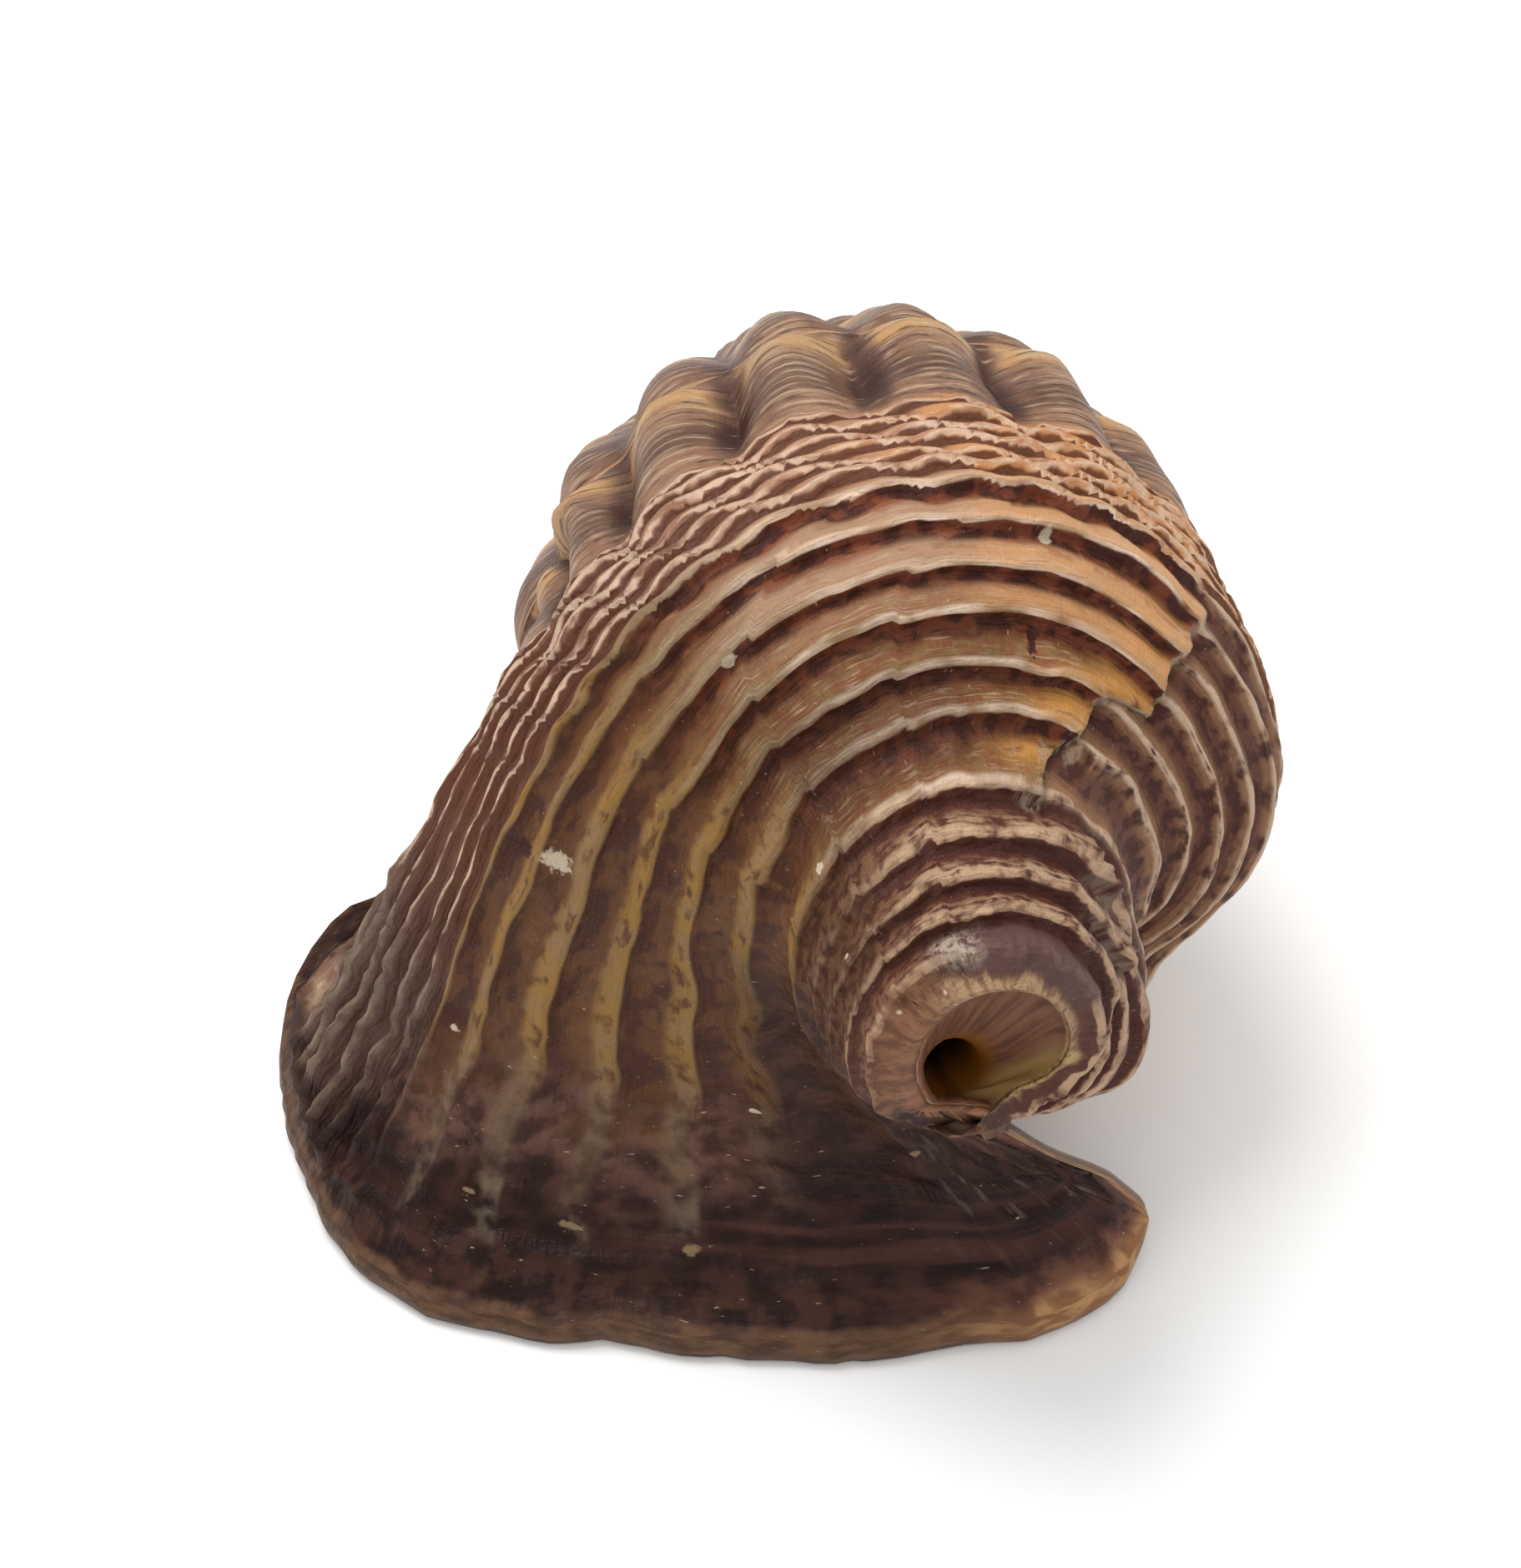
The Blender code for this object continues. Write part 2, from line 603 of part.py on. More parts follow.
def main():
    for old in list(bpy.data.objects):
        bpy.data.objects.remove(old, do_unlink=True)
    shell_group = bpy.data.collections.new("cerith shell")
    cutter_group = bpy.data.collections.new("cutters")
    bpy.context.scene.collection.children.link(shell_group)
    bpy.context.scene.collection.children.link(cutter_group)
    cutter_group.hide_render = True
    material = bpy.data.materials.new("shell_wall")
    material.use_nodes = True
    principled = material.node_tree.nodes["Principled BSDF"]
    principled.inputs["Base Color"].default_value = (0.24, 0.15, 0.09, 1.0)
    principled.inputs["Roughness"].default_value = 0.5

    outside, bottom = build_outside()
    shell = object_from(outside, "shell", shell_group, material)
    hollow = object_from(build_hollow(bottom), "hollow_cutter", cutter_group, material)
    cut(shell, hollow)
    cut(shell, canal_cutter(cutter_group, material))
    clean_up(shell)
    cut(shell, table_cutter(cutter_group, material), "EXACT")


main()
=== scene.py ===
# %% [markdown]
# # A cerith shell lying on its flared lip
#
# A sea snail builds its shell at the open end only. Each day it adds a narrow strip that is a little
# larger than the last one, so the whole shell is one sheet that winds round an axis and keeps its shape
# while it grows. This lesson lays that sheet down in the same way: a flat grid is bent to the growth
# law, strip after strip, and its ribs and cords are raised on it afterwards.
#
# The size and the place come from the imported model, which is loaded first.

# %% Load the fixed frame
import math

import bpy
import numpy as np
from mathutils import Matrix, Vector


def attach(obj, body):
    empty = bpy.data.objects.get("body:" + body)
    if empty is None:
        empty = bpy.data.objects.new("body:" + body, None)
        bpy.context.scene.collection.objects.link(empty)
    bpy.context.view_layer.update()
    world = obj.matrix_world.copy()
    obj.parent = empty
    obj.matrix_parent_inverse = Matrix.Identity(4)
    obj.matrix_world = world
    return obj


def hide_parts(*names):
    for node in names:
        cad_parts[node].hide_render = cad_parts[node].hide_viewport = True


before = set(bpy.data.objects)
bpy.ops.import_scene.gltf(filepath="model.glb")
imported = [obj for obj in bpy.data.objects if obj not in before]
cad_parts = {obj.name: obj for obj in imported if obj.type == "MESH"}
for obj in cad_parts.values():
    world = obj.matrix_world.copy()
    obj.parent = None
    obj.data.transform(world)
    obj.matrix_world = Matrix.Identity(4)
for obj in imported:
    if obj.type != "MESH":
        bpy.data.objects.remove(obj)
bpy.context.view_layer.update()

MM = 0.001

# %% [markdown]
# ## Camera
#
# A shell this small is seen from a hand's breadth away, from the neck end and from above. The camera
# looks at the middle of the last whorl. A long lens keeps the shape of the far spire honest.

# %% Camera
LOOK_AT = (-0.2475, -6.9625, 12.96)
CAMERA_AZIMUTH = -11.2
CAMERA_ELEVATION = 46.95
CAMERA_DISTANCE = 103.61
CAMERA_LENS = 87.5
CAMERA_SENSOR = 36.0
CAMERA_NEAR = 5.0


def add_camera():
    azimuth = math.radians(CAMERA_AZIMUTH)
    elevation = math.radians(CAMERA_ELEVATION)
    back = Vector((math.sin(azimuth) * math.cos(elevation),
                   -math.cos(azimuth) * math.cos(elevation),
                   math.sin(elevation)))
    data = bpy.data.cameras.new("camera")
    data.lens = CAMERA_LENS
    data.sensor_width = CAMERA_SENSOR
    data.clip_start = CAMERA_NEAR * MM
    camera = bpy.data.objects.new("camera", data)
    bpy.context.scene.collection.objects.link(camera)
    camera.location = (Vector(LOOK_AT) + back * CAMERA_DISTANCE) * MM
    camera.rotation_euler = (math.pi / 2 - elevation, 0.0, azimuth)
    bpy.context.scene.camera = camera
    return camera


camera = add_camera()
print("camera at", [round(c * 1000, 1) for c in camera.location], "mm")

# %% [markdown]
# ## Smooth curves
#
# Most shapes here are read from short tables of places along a line. A curve through such a table must
# not swing past its own points, or the outline would get dents that nobody wrote. So the slope at every
# point is a mean of the slopes on its two sides, and it is level where they point opposite ways.

# %% Smooth curves through tables
def curve_through(table, column):
    """Smooth curve through a table of points that never overshoots between them."""
    xs = np.array([row[0] for row in table], float)
    ys = np.array([row[column] for row in table], float)
    gaps = np.diff(xs)
    slopes = np.diff(ys) / gaps
    tangents = np.zeros_like(ys)
    for i in range(1, len(ys) - 1):
        if slopes[i - 1] * slopes[i] > 0.0:
            w1 = 2.0 * gaps[i] + gaps[i - 1]
            w2 = gaps[i] + 2.0 * gaps[i - 1]
            tangents[i] = (w1 + w2) / (w1 / slopes[i - 1] + w2 / slopes[i])
    tangents[0] = slopes[0]
    tangents[-1] = slopes[-1]

    def value(x):
        x = np.clip(np.asarray(x, float), xs[0], xs[-1])
        i = np.clip(np.searchsorted(xs, x) - 1, 0, len(gaps) - 1)
        h = gaps[i]
        t = (x - xs[i]) / h
        start = (1 + 2 * t) * (1 - t) ** 2 * ys[i] + t * (1 - t) ** 2 * h * tangents[i]
        end = t * t * (3 - 2 * t) * ys[i + 1] + t * t * (t - 1) * h * tangents[i + 1]
        return start + end

    return value


def smooth_step(x):
    x = np.clip(x, 0.0, 1.0)
    return x * x * (3.0 - 2.0 * x)


def ramp(x, start, full):
    return smooth_step((x - start) / (full - start))


def bump(x, centre, width):
    return np.exp(-((x - centre) / width) ** 2)


print("ramp and bump half way:", float(ramp(0.5, 0.0, 1.0)), round(float(bump(0.5, 0.0, 1.0)), 2))

# %% [markdown]
# ## The growth law
#
# Three numbers describe the winding: how much wider and how much further along each whorl is than the
# whorl before, and the outline of one whorl. Positions across a whorl run from 0 at its seam to 1 at
# the rim of the siphonal hole; 0.27 is the line where the next whorl is glued on. Turn angles grow
# toward the mouth: 0 is right, 90 is top, 180 is left and 270 is underneath, seen from the neck.

# %% Winding and outline of a whorl
SPIRE_GROWTH = 1.25
LAST_OUT_GROWTH = 1.079
LAST_ALONG_GROWTH = 1.14
OUT_SWITCH_ANGLE = -230.0
ALONG_SWITCH_ANGLE = -200.0
SWITCH_WIDTH = 50.0
REFERENCE_ANGLE = 90.0
SEAM_LINE = 0.27
SEAM_PULL = 0.2
# place on the outline, distance out from the axis, distance along the axis
PROFILE = [
    (0.00, 8.85, 25.12), (0.04, 9.25, 25.59), (0.10, 9.52, 26.29), (0.16, 9.84, 27.04),
    (0.22, 10.09, 27.75), (0.27, 10.26, 28.57), (0.33, 10.33, 30.24), (0.39, 10.13, 31.80),
    (0.45, 9.62, 33.25), (0.51, 8.92, 34.23), (0.57, 7.97, 34.98), (0.64, 6.77, 35.66),
    (0.71, 5.63, 36.32), (0.78, 4.63, 37.52), (0.84, 4.03, 38.72), (0.89, 3.53, 39.82),
    (0.94, 2.98, 40.72), (0.98, 2.33, 41.52), (1.00, 1.83, 41.92),
]
profile_out = curve_through(PROFILE, 1)
profile_along = curve_through(PROFILE, 2)


def growth(angle, last_ratio, switch_angle):
    """Size at a turn angle, 1 at the reference angle; the last whorl grows more slowly."""
    early = math.log(SPIRE_GROWTH) / 360.0
    late = math.log(last_ratio) / 360.0

    def log_size(a):
        softened = SWITCH_WIDTH * np.logaddexp(0.0, (switch_angle - a) / SWITCH_WIDTH)
        return late * a - (early - late) * softened

    return np.exp(log_size(angle) - log_size(REFERENCE_ANGLE))


def even_point(angle, position):
    out = profile_out(position) * growth(angle, LAST_OUT_GROWTH, OUT_SWITCH_ANGLE)
    along = profile_along(position) * growth(angle, LAST_ALONG_GROWTH, ALONG_SWITCH_ANGLE)
    return out, along


def whorl_point(angle, position):
    """Distance out and along of a whorl whose seam lies on the whorl before."""
    out, along = even_point(angle, position)
    share = np.maximum(1.0 - position / SEAM_PULL, 0.0) ** 2
    seam_out, seam_along = even_point(angle - 360.0, SEAM_LINE)
    own_out, own_along = even_point(angle, 0.0)
    return out + (seam_out - own_out) * share, along + (seam_along - own_along) * share


print("last whorl is", round(2 * float(profile_out(0.22)), 1), "mm across")

# %% [markdown]
# ## From the shell's own axis to the table
#
# The shell lies with its mouth down and its axis tilted, neck end up. The rim of the siphonal hole is
# an oval set a little to one side of the axis, so the last part of the outline is led over to it.

# %% Lying on the table
AXIS_TILT = math.radians(21.0)
AXIS_LIFT = 1.0
TO_MIDDLE = np.array((3.6225, 21.2125, 0.0))
NECK_DROP = 0.5
NECK_START = 0.74
RIM_SIDE = -0.42
RIM_DORSAL = -1.8
RIM_ALONG = 41.92
RIM_HALF_WIDTH = 2.2
RIM_HALF_HEIGHT = 2.5
RIM_SLANT = 0.35
RIM_PINCH = 0.40
RIM_PINCH_ANGLE = -58.0
RIM_PINCH_WIDTH = 36.0
RIM_TURN_START = -235.0


def lying(side, along, dorsal):
    y = -along * math.cos(AXIS_TILT) + dorsal * math.sin(AXIS_TILT)
    z = along * math.sin(AXIS_TILT) + dorsal * math.cos(AXIS_TILT) + AXIS_LIFT
    return np.stack(np.broadcast_arrays(side, y, z), axis=-1) + TO_MIDDLE


def rim_oval(angle):
    """Side, along and dorsal distance of the rim of the siphonal hole."""
    turn = np.radians(angle)
    once_round = np.mod(angle - RIM_TURN_START, 360.0) + RIM_TURN_START
    pinch = 1.0 - RIM_PINCH * bump(once_round, RIM_PINCH_ANGLE, RIM_PINCH_WIDTH)
    side = RIM_SIDE + RIM_HALF_WIDTH * pinch * np.cos(turn)
    rise = RIM_HALF_HEIGHT * pinch * np.sin(turn)
    return side, RIM_ALONG + RIM_SLANT * rise, RIM_DORSAL + rise


print("middle of the hole's rim at", np.round(lying(RIM_SIDE, RIM_ALONG, RIM_DORSAL), 1), "mm")

# %% [markdown]
# ## Roughness of nature
#
# Nothing on a shell repeats exactly. A patchy field, made from a small table of random numbers with a
# fixed seed, wobbles the cords and makes their height uneven. It is the same at every run.

# %% Patchy field
TABLE_SIZE = 128


def patchy(x, y, seed):
    """Smooth field between -1 and 1 whose patches are one unit across."""
    table = np.random.default_rng(seed).uniform(-1.0, 1.0, (TABLE_SIZE, TABLE_SIZE))
    column = np.floor(x).astype(int)
    row = np.floor(y).astype(int)
    u = smooth_step(x - column)
    v = smooth_step(y - row)

    def along_row(r):
        left, right = table[r, column % TABLE_SIZE], table[r, (column + 1) % TABLE_SIZE]
        return left * (1 - u) + right * u

    return along_row(row % TABLE_SIZE) * (1 - v) + along_row((row + 1) % TABLE_SIZE) * v


def patchy_line(x, seed):
    """The same field along a single line."""
    return patchy(x, x * 0.0, seed)


print("patchy field runs, for example,", np.round(patchy_line(np.arange(4.0), 1), 2))

# %% [markdown]
# ## Large relief: folds, groove and an old lip
#
# Sixteen rounded folds cross each whorl beside the seam and fade out at the line of the next seam.
# Low on the right of the last whorl the snail once stopped growing: a groove, then a low swelling.

# %% Large relief
FOLDS_PER_WHORL = 16
FOLD_HEIGHT = 0.06
FOLD_PHASE = 99.0
FOLD_ROUNDNESS = 0.62
FOLD_PROFILE = [
    (0.0, 0.3), (0.05, 1.0), (0.12, 1.0), (0.2, 0.75), (0.27, 0.35), (0.36, 0.08), (0.42, 0.0), (1.0, 0.0),
]
FASCIOLE_HEIGHT = 2.2
FASCIOLE_PLACE = (0.84, 0.085)
FASCIOLE_TURN = (-44.0, 26.0)
LAST_WHORL_START = -120.0
# height, middle and width of the swellings low on the right
BASE_SWELLINGS = [(-0.9, -40.0, 15.0), (0.6, -60.0, 15.0), (0.5, -5.0, 24.0)]
fold_share = curve_through(FOLD_PROFILE, 1)


def fold_wave(angle):
    """Height of the folds, 1 on a top; the power makes the tops round and the valleys narrow."""
    half = np.radians(FOLDS_PER_WHORL * (angle - FOLD_PHASE + 2.0 * patchy_line(angle / 30.0, 21))) / 2.0
    wave = 2.0 * (np.cos(half) ** 2 + 0.02) ** FOLD_ROUNDNESS - 1.0
    return wave * (1.0 + 0.22 * patchy_line(angle / 22.5 + 0.3, 22))


def large_relief(angle, position, out):
    """Height of the folds, of the swellings and of the fasciole, the bulge beside the neck."""
    on_last = angle > LAST_WHORL_START
    body = ramp(position, 0.1, 0.4) * (1.0 - ramp(position, 0.66, 0.86)) * on_last
    height = out * FOLD_HEIGHT * fold_share(position) * fold_wave(angle)
    for swelling, middle, width in BASE_SWELLINGS:
        height = height + swelling * body * bump(angle, middle, width)
    return height + FASCIOLE_HEIGHT * bump(position, *FASCIOLE_PLACE) * bump(angle, *FASCIOLE_TURN) * on_last


print("folds stand", round(10.0 * FOLD_HEIGHT, 2), "mm high where the whorl is 10 mm out")

# %% The winding sheet
SPIRE_RISE = 2.3
SPIRE_SIDE = 0.2
SPIRE_BEND = (30.0, 23.0)


def spiral_surface(angle, position, with_relief=True):
    """The winding sheet without its flared lip."""
    out, along = whorl_point(angle, position)
    if with_relief:
        out = out + large_relief(angle, position, out)
    turn = np.radians(angle)
    bent = ramp(along, *SPIRE_BEND)
    side = out * np.cos(turn) + SPIRE_SIDE * bent
    dorsal = out * np.sin(turn) - NECK_DROP * ramp(position, 0.6, 0.9) + SPIRE_RISE * bent
    share = ramp(position, NECK_START, 1.0)
    end_out, end_along = whorl_point(angle, 1.0)
    rim_side, rim_along, rim_dorsal = rim_oval(angle)
    side = side + share * (rim_side - end_out * np.cos(turn))
    along = along + share * (rim_along - end_along)
    dorsal = dorsal + share * (rim_dorsal - (end_out * np.sin(turn) - NECK_DROP))
    return lying(side, along, dorsal)


print("top of the last whorl at", np.round(spiral_surface(np.array(90.0), np.array(0.3)), 1), "mm")

# %% [markdown]
# ## The flared lip
#
# A grown shell stops winding and spreads its lip like the bell of a trumpet. Every spiral line leaves
# the winding at its own angle and runs out to the margin in one smooth bow, a cubic curve that starts
# in the direction of growth and ends square to the margin. The margin rests on the table.

# %% The flared lip
# place on the outline, then side, depth and height of the margin
MARGIN = [
    (0.06, -12.6, -24.2, 6.6), (0.13, -15.5, -23.0, 4.2), (0.20, -17.2, -23.8, 2.0),
    (0.30, -17.7, -26.9, 1.0), (0.40, -17.1, -30.9, 1.0), (0.50, -14.9, -34.2, 1.0),
    (0.58, -11.5, -35.9, 1.0), (0.66, -7.5, -37.3, 1.0), (0.74, -3.0, -38.4, 1.0),
    (0.81, 1.4, -38.6, 1.0), (0.87, 4.8, -37.4, 1.0), (0.905, 5.75, -36.2, 1.3),
    (0.94, 4.75, -35.9, 2.8), (0.97, 2.2, -37.2, 6.5),
]
# place on the outline, then the direction in which the bow meets the margin
FLARE = [
    (0.00, -1.0, 0.5, -1.0), (0.06, -5.0, 1.5, -1.0), (0.13, -6.0, 2.0, -2.0), (0.20, -6.0, 0.5, -4.0),
    (0.30, -4.5, -0.5, -6.5), (0.40, -5.0, -2.0, -5.5), (0.50, -4.0, -4.5, -4.5), (0.66, -1.5, -6.5, -3.5),
    (0.75, 0.5, -6.0, -4.0), (0.81, 2.0, -4.5, -4.5), (0.87, 4.0, -2.5, -4.5), (0.91, 4.5, 0.0, -4.5),
    (0.95, 3.0, 0.5, -4.0), (1.00, 1.5, -0.3, -0.5),
]
# place on the outline, turn angle where the line leaves the winding
LEAVE = [(0.0, 150.0), (0.1, 135.0), (0.3, 125.0), (0.5, 130.0), (0.7, 150.0), (0.85, 178.0), (1.0, 205.0)]
SEAM_END_ANGLE = 205.0
MOUTH_ANGLE = 270.0
INNER_LIP_TOP = -155.0
INNER_LIP_NECK = -90.0
LAST_FOLD_ANGLE = 215.0
LIP_FOLD_HEIGHT = 10.0 * FOLD_HEIGHT
HEADING_STEP = 0.5

leave_angle = curve_through(LEAVE, 1)


def margin_table():
    start = spiral_surface(np.array(SEAM_END_ANGLE), np.array(0.0)) - TO_MIDDLE
    end = spiral_surface(np.array(MOUTH_ANGLE), np.array(1.0)) - TO_MIDDLE
    return [(0.0, *start)] + MARGIN + [(1.0, *end)]


margin_rows = margin_table()
margin_curves = [curve_through(margin_rows, column) for column in (1, 2, 3)]
flare_curves = [curve_through(FLARE, column) for column in (1, 2, 3)]


def margin_point(position):
    return np.stack([curve(position) for curve in margin_curves], axis=-1) + TO_MIDDLE


def outer_surface(angle, position, with_relief=True):
    """Outside of the shell, lip included."""
    angle, position = np.broadcast_arrays(np.asarray(angle, float), np.asarray(position, float))
    leave = leave_angle(position)
    wound = spiral_surface(np.minimum(angle, leave), position, with_relief)
    start = spiral_surface(leave, position, False)
    heading = (spiral_surface(leave + HEADING_STEP, position, False)
               - spiral_surface(leave - HEADING_STEP, position, False))
    reach = (SEAM_END_ANGLE + (MOUTH_ANGLE - SEAM_END_ANGLE) * smooth_step(position / 0.5) - leave) / 3.0
    first = start + heading * reach[..., None]
    end = margin_point(position)
    last = end - np.stack([curve(position) for curve in flare_curves], axis=-1)
    t = np.clip((angle - leave) / (MOUTH_ANGLE - leave), 0.0, 1.0)[..., None]
    bow = (1 - t) ** 3 * start + 3 * (1 - t) ** 2 * t * first + 3 * (1 - t) * t * t * last + t ** 3 * end
    turn = np.radians(np.minimum(angle, LAST_FOLD_ANGLE))
    out = lying(np.cos(turn), 0.0, np.sin(turn)) - lying(0.0, 0.0, 0.0)
    height = LIP_FOLD_HEIGHT * fold_share(position) * fold_wave(angle)
    bow = bow + out * height[..., None] * (1.0 - t) * with_relief
    return np.where((angle <= leave)[..., None], wound, bow)


def start_angle(position):
    """Turn angle of the inner lip, where the last whorl comes out of the mouth."""
    return INNER_LIP_TOP + (INNER_LIP_NECK - INNER_LIP_TOP) * ramp(position, 0.55, 1.0)


print("lip reaches", np.round(margin_point(np.array(0.3)), 1), "mm")

# %% [markdown]
# ## Cords
#
# Fine spiral lines run over the folds, six narrow wavy cords follow below them, and eleven broad cords
# cover the base and the neck. A running number along the outline, whole on every crest, keeps the
# raised relief and the paint of the cords together.

# %% Cord numbers
CORD_CRESTS = [
    (0.0, -6.0), (SEAM_LINE, 0.0), (0.423, 6.0), (0.477, 7.0), (0.541, 8.0), (0.600, 9.0), (0.663, 10.0),
    (0.727, 11.0), (0.812, 12.0), (0.862, 13.0), (0.903, 14.0), (0.940, 15.0), (0.975, 16.0), (1.0, 16.6),
]
FIRST_BROAD_CORD = 6.0
LAST_CORD = 16.6


def cord_of(position):
    return np.interp(position, [row[0] for row in CORD_CRESTS], [row[1] for row in CORD_CRESTS])


def position_of(cord):
    return np.interp(cord, [row[1] for row in CORD_CRESTS], [row[0] for row in CORD_CRESTS])


ROWS = 340
SPIRE_WHORLS = 8
SPIRE_CORDS = np.linspace(-6.0, 0.0, 13)
NARROW_CORDS = np.linspace(0.0, FIRST_BROAD_CORD, 6 * 7 + 1)[1:]
BROAD_SAMPLES = (0.05, 0.10, 0.17, 0.34, 0.52, 0.70, 0.85, 1.0)
BROAD_CORDS = [crest + share for crest in range(6, 16) for share in BROAD_SAMPLES] + [16.3, LAST_CORD]
CORDS = np.concatenate([SPIRE_CORDS, NARROW_CORDS, BROAD_CORDS])
POSITIONS = position_of(CORDS)
SEAM_COLUMN = len(SPIRE_CORDS) - 1
print(len(CORDS), "lines across the last whorl,", ROWS, "rows to a turn")

# %% [markdown]
# ## Cords that wander
#
# The mantle of a snail is soft, so no cord is a perfect spiral. The cord number itself is disturbed here,
# once for relief and paint together: the narrow cords ripple 29 times to a whorl, the broad ones only
# wander, and on top each of them makes a small step where the snail once paused in its growth.

# %% Wavy cord numbers
RIPPLES_PER_WHORL = 29
RIPPLE_WIDTH = 0.22
# shift from the main pause in degrees of turn, size of the step in cords
STEPS = [(0.0, 0.16), (-31.0, 0.10), (27.0, 0.10)]
# cord number, turn angle of the main pause
PAUSES = [(0.0, 88.0), (5.6, 89.5), (7.0, 112.0), (8.2, 124.5), (10.0, 131.0), (16.6, 133.0)]


def wavy_cord(angle, cord):
    """Cord number after the small waves: the narrow cords run in ripples, the broad ones wander a little."""
    narrow = (ramp(cord, -0.8, 0.6) * (1.0 - ramp(cord, 4.6, 7.6))
              * (1.0 - 0.8 * ramp(angle, 120.0, 200.0)) * (1.0 - 0.5 * ramp(-angle, -55.0, -30.0)))
    phase = np.radians(RIPPLES_PER_WHORL * angle) + 1.7 * cord + 2.2 * patchy(angle / 22.0, cord / 2.5, 3)
    ripple = np.sin(phase) + 0.2 * np.sin(2.0 * phase + 1.0)
    wander = 0.09 * patchy(angle / 13.0, cord * 0.8, 5) + 0.035 * patchy(angle / 4.5, cord * 1.4, 6)
    pause = np.interp(cord, [row[0] for row in PAUSES], [row[1] for row in PAUSES])
    jog = 0.0
    for shift, size in STEPS:
        beyond = angle - pause - shift
        jog = jog + size * ramp(beyond, -0.6, 0.6) * np.exp(-np.maximum(beyond, 0.0) / 7.0)
    wander = (wander + jog * ramp(cord, 5.0, 6.5)) * ramp(cord, 0.0, 2.0)
    return cord + RIPPLE_WIDTH * narrow * ripple + wander


print("third cord on top runs at", round(float(wavy_cord(np.array(90.0), np.array(3.0))), 2))

# %% [markdown]
# ## The broken and mended place
#
# A crab once chipped the lip of this shell. The snail patched it and went on growing, so a ragged scar
# crosses the broad cords high on the right, and the cords below it start again with a small step.

# %% Scar line
# cord number, turn angle of the scar
SCAR_LINE = [(6.6, 34.0), (8.8, 33.0), (9.5, 30.0), (9.9, 46.0), (11.0, 49.0), (11.6, 58.0), (12.4, 61.0)]


def from_scar(angle, cord):
    """Degrees of turn past the scar; the repaired side is negative."""
    line = np.interp(cord, [row[0] for row in SCAR_LINE], [row[1] for row in SCAR_LINE])
    return angle - line + 2.2 * patchy(cord * 2.2, angle * 0.0 + 3.0, 11)


print("scar spans", round(SCAR_LINE[-1][0] - SCAR_LINE[0][0], 1), "cords")

# %% [markdown]
# ## Outline of one cord
#
# A broad cord is not a round tube. It drops steeply on its lower side and rises gently to the next crest,
# like tiles on a roof. On the left and behind the scar it is a plain thin ridge. The height could be
# sculpted by hand, but as a formula it stays sharp on any mesh and keeps in step with the paint.

# %% Outline of one cord
RIDGE_WIDTH = 0.2


def to_the_left(angle):
    return ramp(angle, 140.0, 185.0)


def cord_outline(angle, number, cord, past):
    """Height between one crest and the next, from 0 to 1."""
    share = cord - np.floor(cord)
    drop = 1.0 - smooth_step((share - 0.01) / 0.13)
    rise = smooth_step((share - 0.16) / 0.72)
    stepped = np.maximum(drop, rise)
    ridged = np.exp(-(np.minimum(share, 1.0 - share) / RIDGE_WIDTH) ** 2)
    outline = stepped + (ridged - stepped) * to_the_left(angle)
    behind = ramp(-past, -0.5, 1.5) * (1.0 - ramp(number, 11.8, 12.6))
    return outline + (0.8 * ridged - outline) * behind


print("a crest is about", RIDGE_WIDTH, "of a cord wide on each side")

# %% [markdown]
# ## Marks that cross the cords
#
# Three things break the cords. The mended scar is a thin groove with a raised lip, and the shell behind it
# lies a little lower. A worn ridge with a crevice runs down the right of the neck. On the lip there are
# ribs, lumps and ridges along the margin, left by short pauses of growth.

# %% Scar and worn ridge
SCAR_DEPTH = 0.20
SCAR_LIP = 0.15
SCAR_STEP = 0.12
NECK_RIDGE_HEIGHT = 0.35
NECK_CREVICE_DEPTH = 0.45
NECK_RIDGE_WIDTH = 4.5
# cord numbers, and the turn angles of the worn ridge there
NECK_RIDGE = ((12.0, 12.7, 13.3, 14.4), (44.0, 35.0, 17.0, 3.0))


def with_scar(height, number, past):
    crossed = ramp(number, 6.6, 7.4) * (1.0 - ramp(number, 11.9, 12.6))
    height = height * (1.0 - 0.45 * crossed * bump(past, 0.5, 4.0))
    height = height - crossed * SCAR_DEPTH * bump(past, -0.8, 1.3) + crossed * SCAR_LIP * bump(past, 1.6, 1.2)
    return height - crossed * SCAR_STEP * ramp(-past, 0.0, 1.5) * (1.0 - ramp(-past, 4.0, 16.0))


def with_worn_ridge(height, angle, number):
    neck = ramp(number, 11.9, 12.6) * (1.0 - ramp(number, 14.2, 15.2))
    line = np.interp(number, *NECK_RIDGE)
    height = height + neck * NECK_RIDGE_HEIGHT * bump(angle, line + 3.0, NECK_RIDGE_WIDTH)
    return height - neck * NECK_CREVICE_DEPTH * bump(angle, line - 7.0, NECK_RIDGE_WIDTH)


print("scar is", SCAR_DEPTH, "mm deep, the crevice", NECK_CREVICE_DEPTH, "mm")

# %% Ribs, lumps and pauses on the lip
WING_RIB_HEIGHT = 0.24
LIP_LUMP_HEIGHT = 0.16
PAUSE_HEIGHT = 0.16
# millimetres from the margin, width, strength
LIP_PAUSES = [(1.6, 0.45, 1.0), (3.1, 0.5, 0.7), (5.4, 0.6, 0.6)]


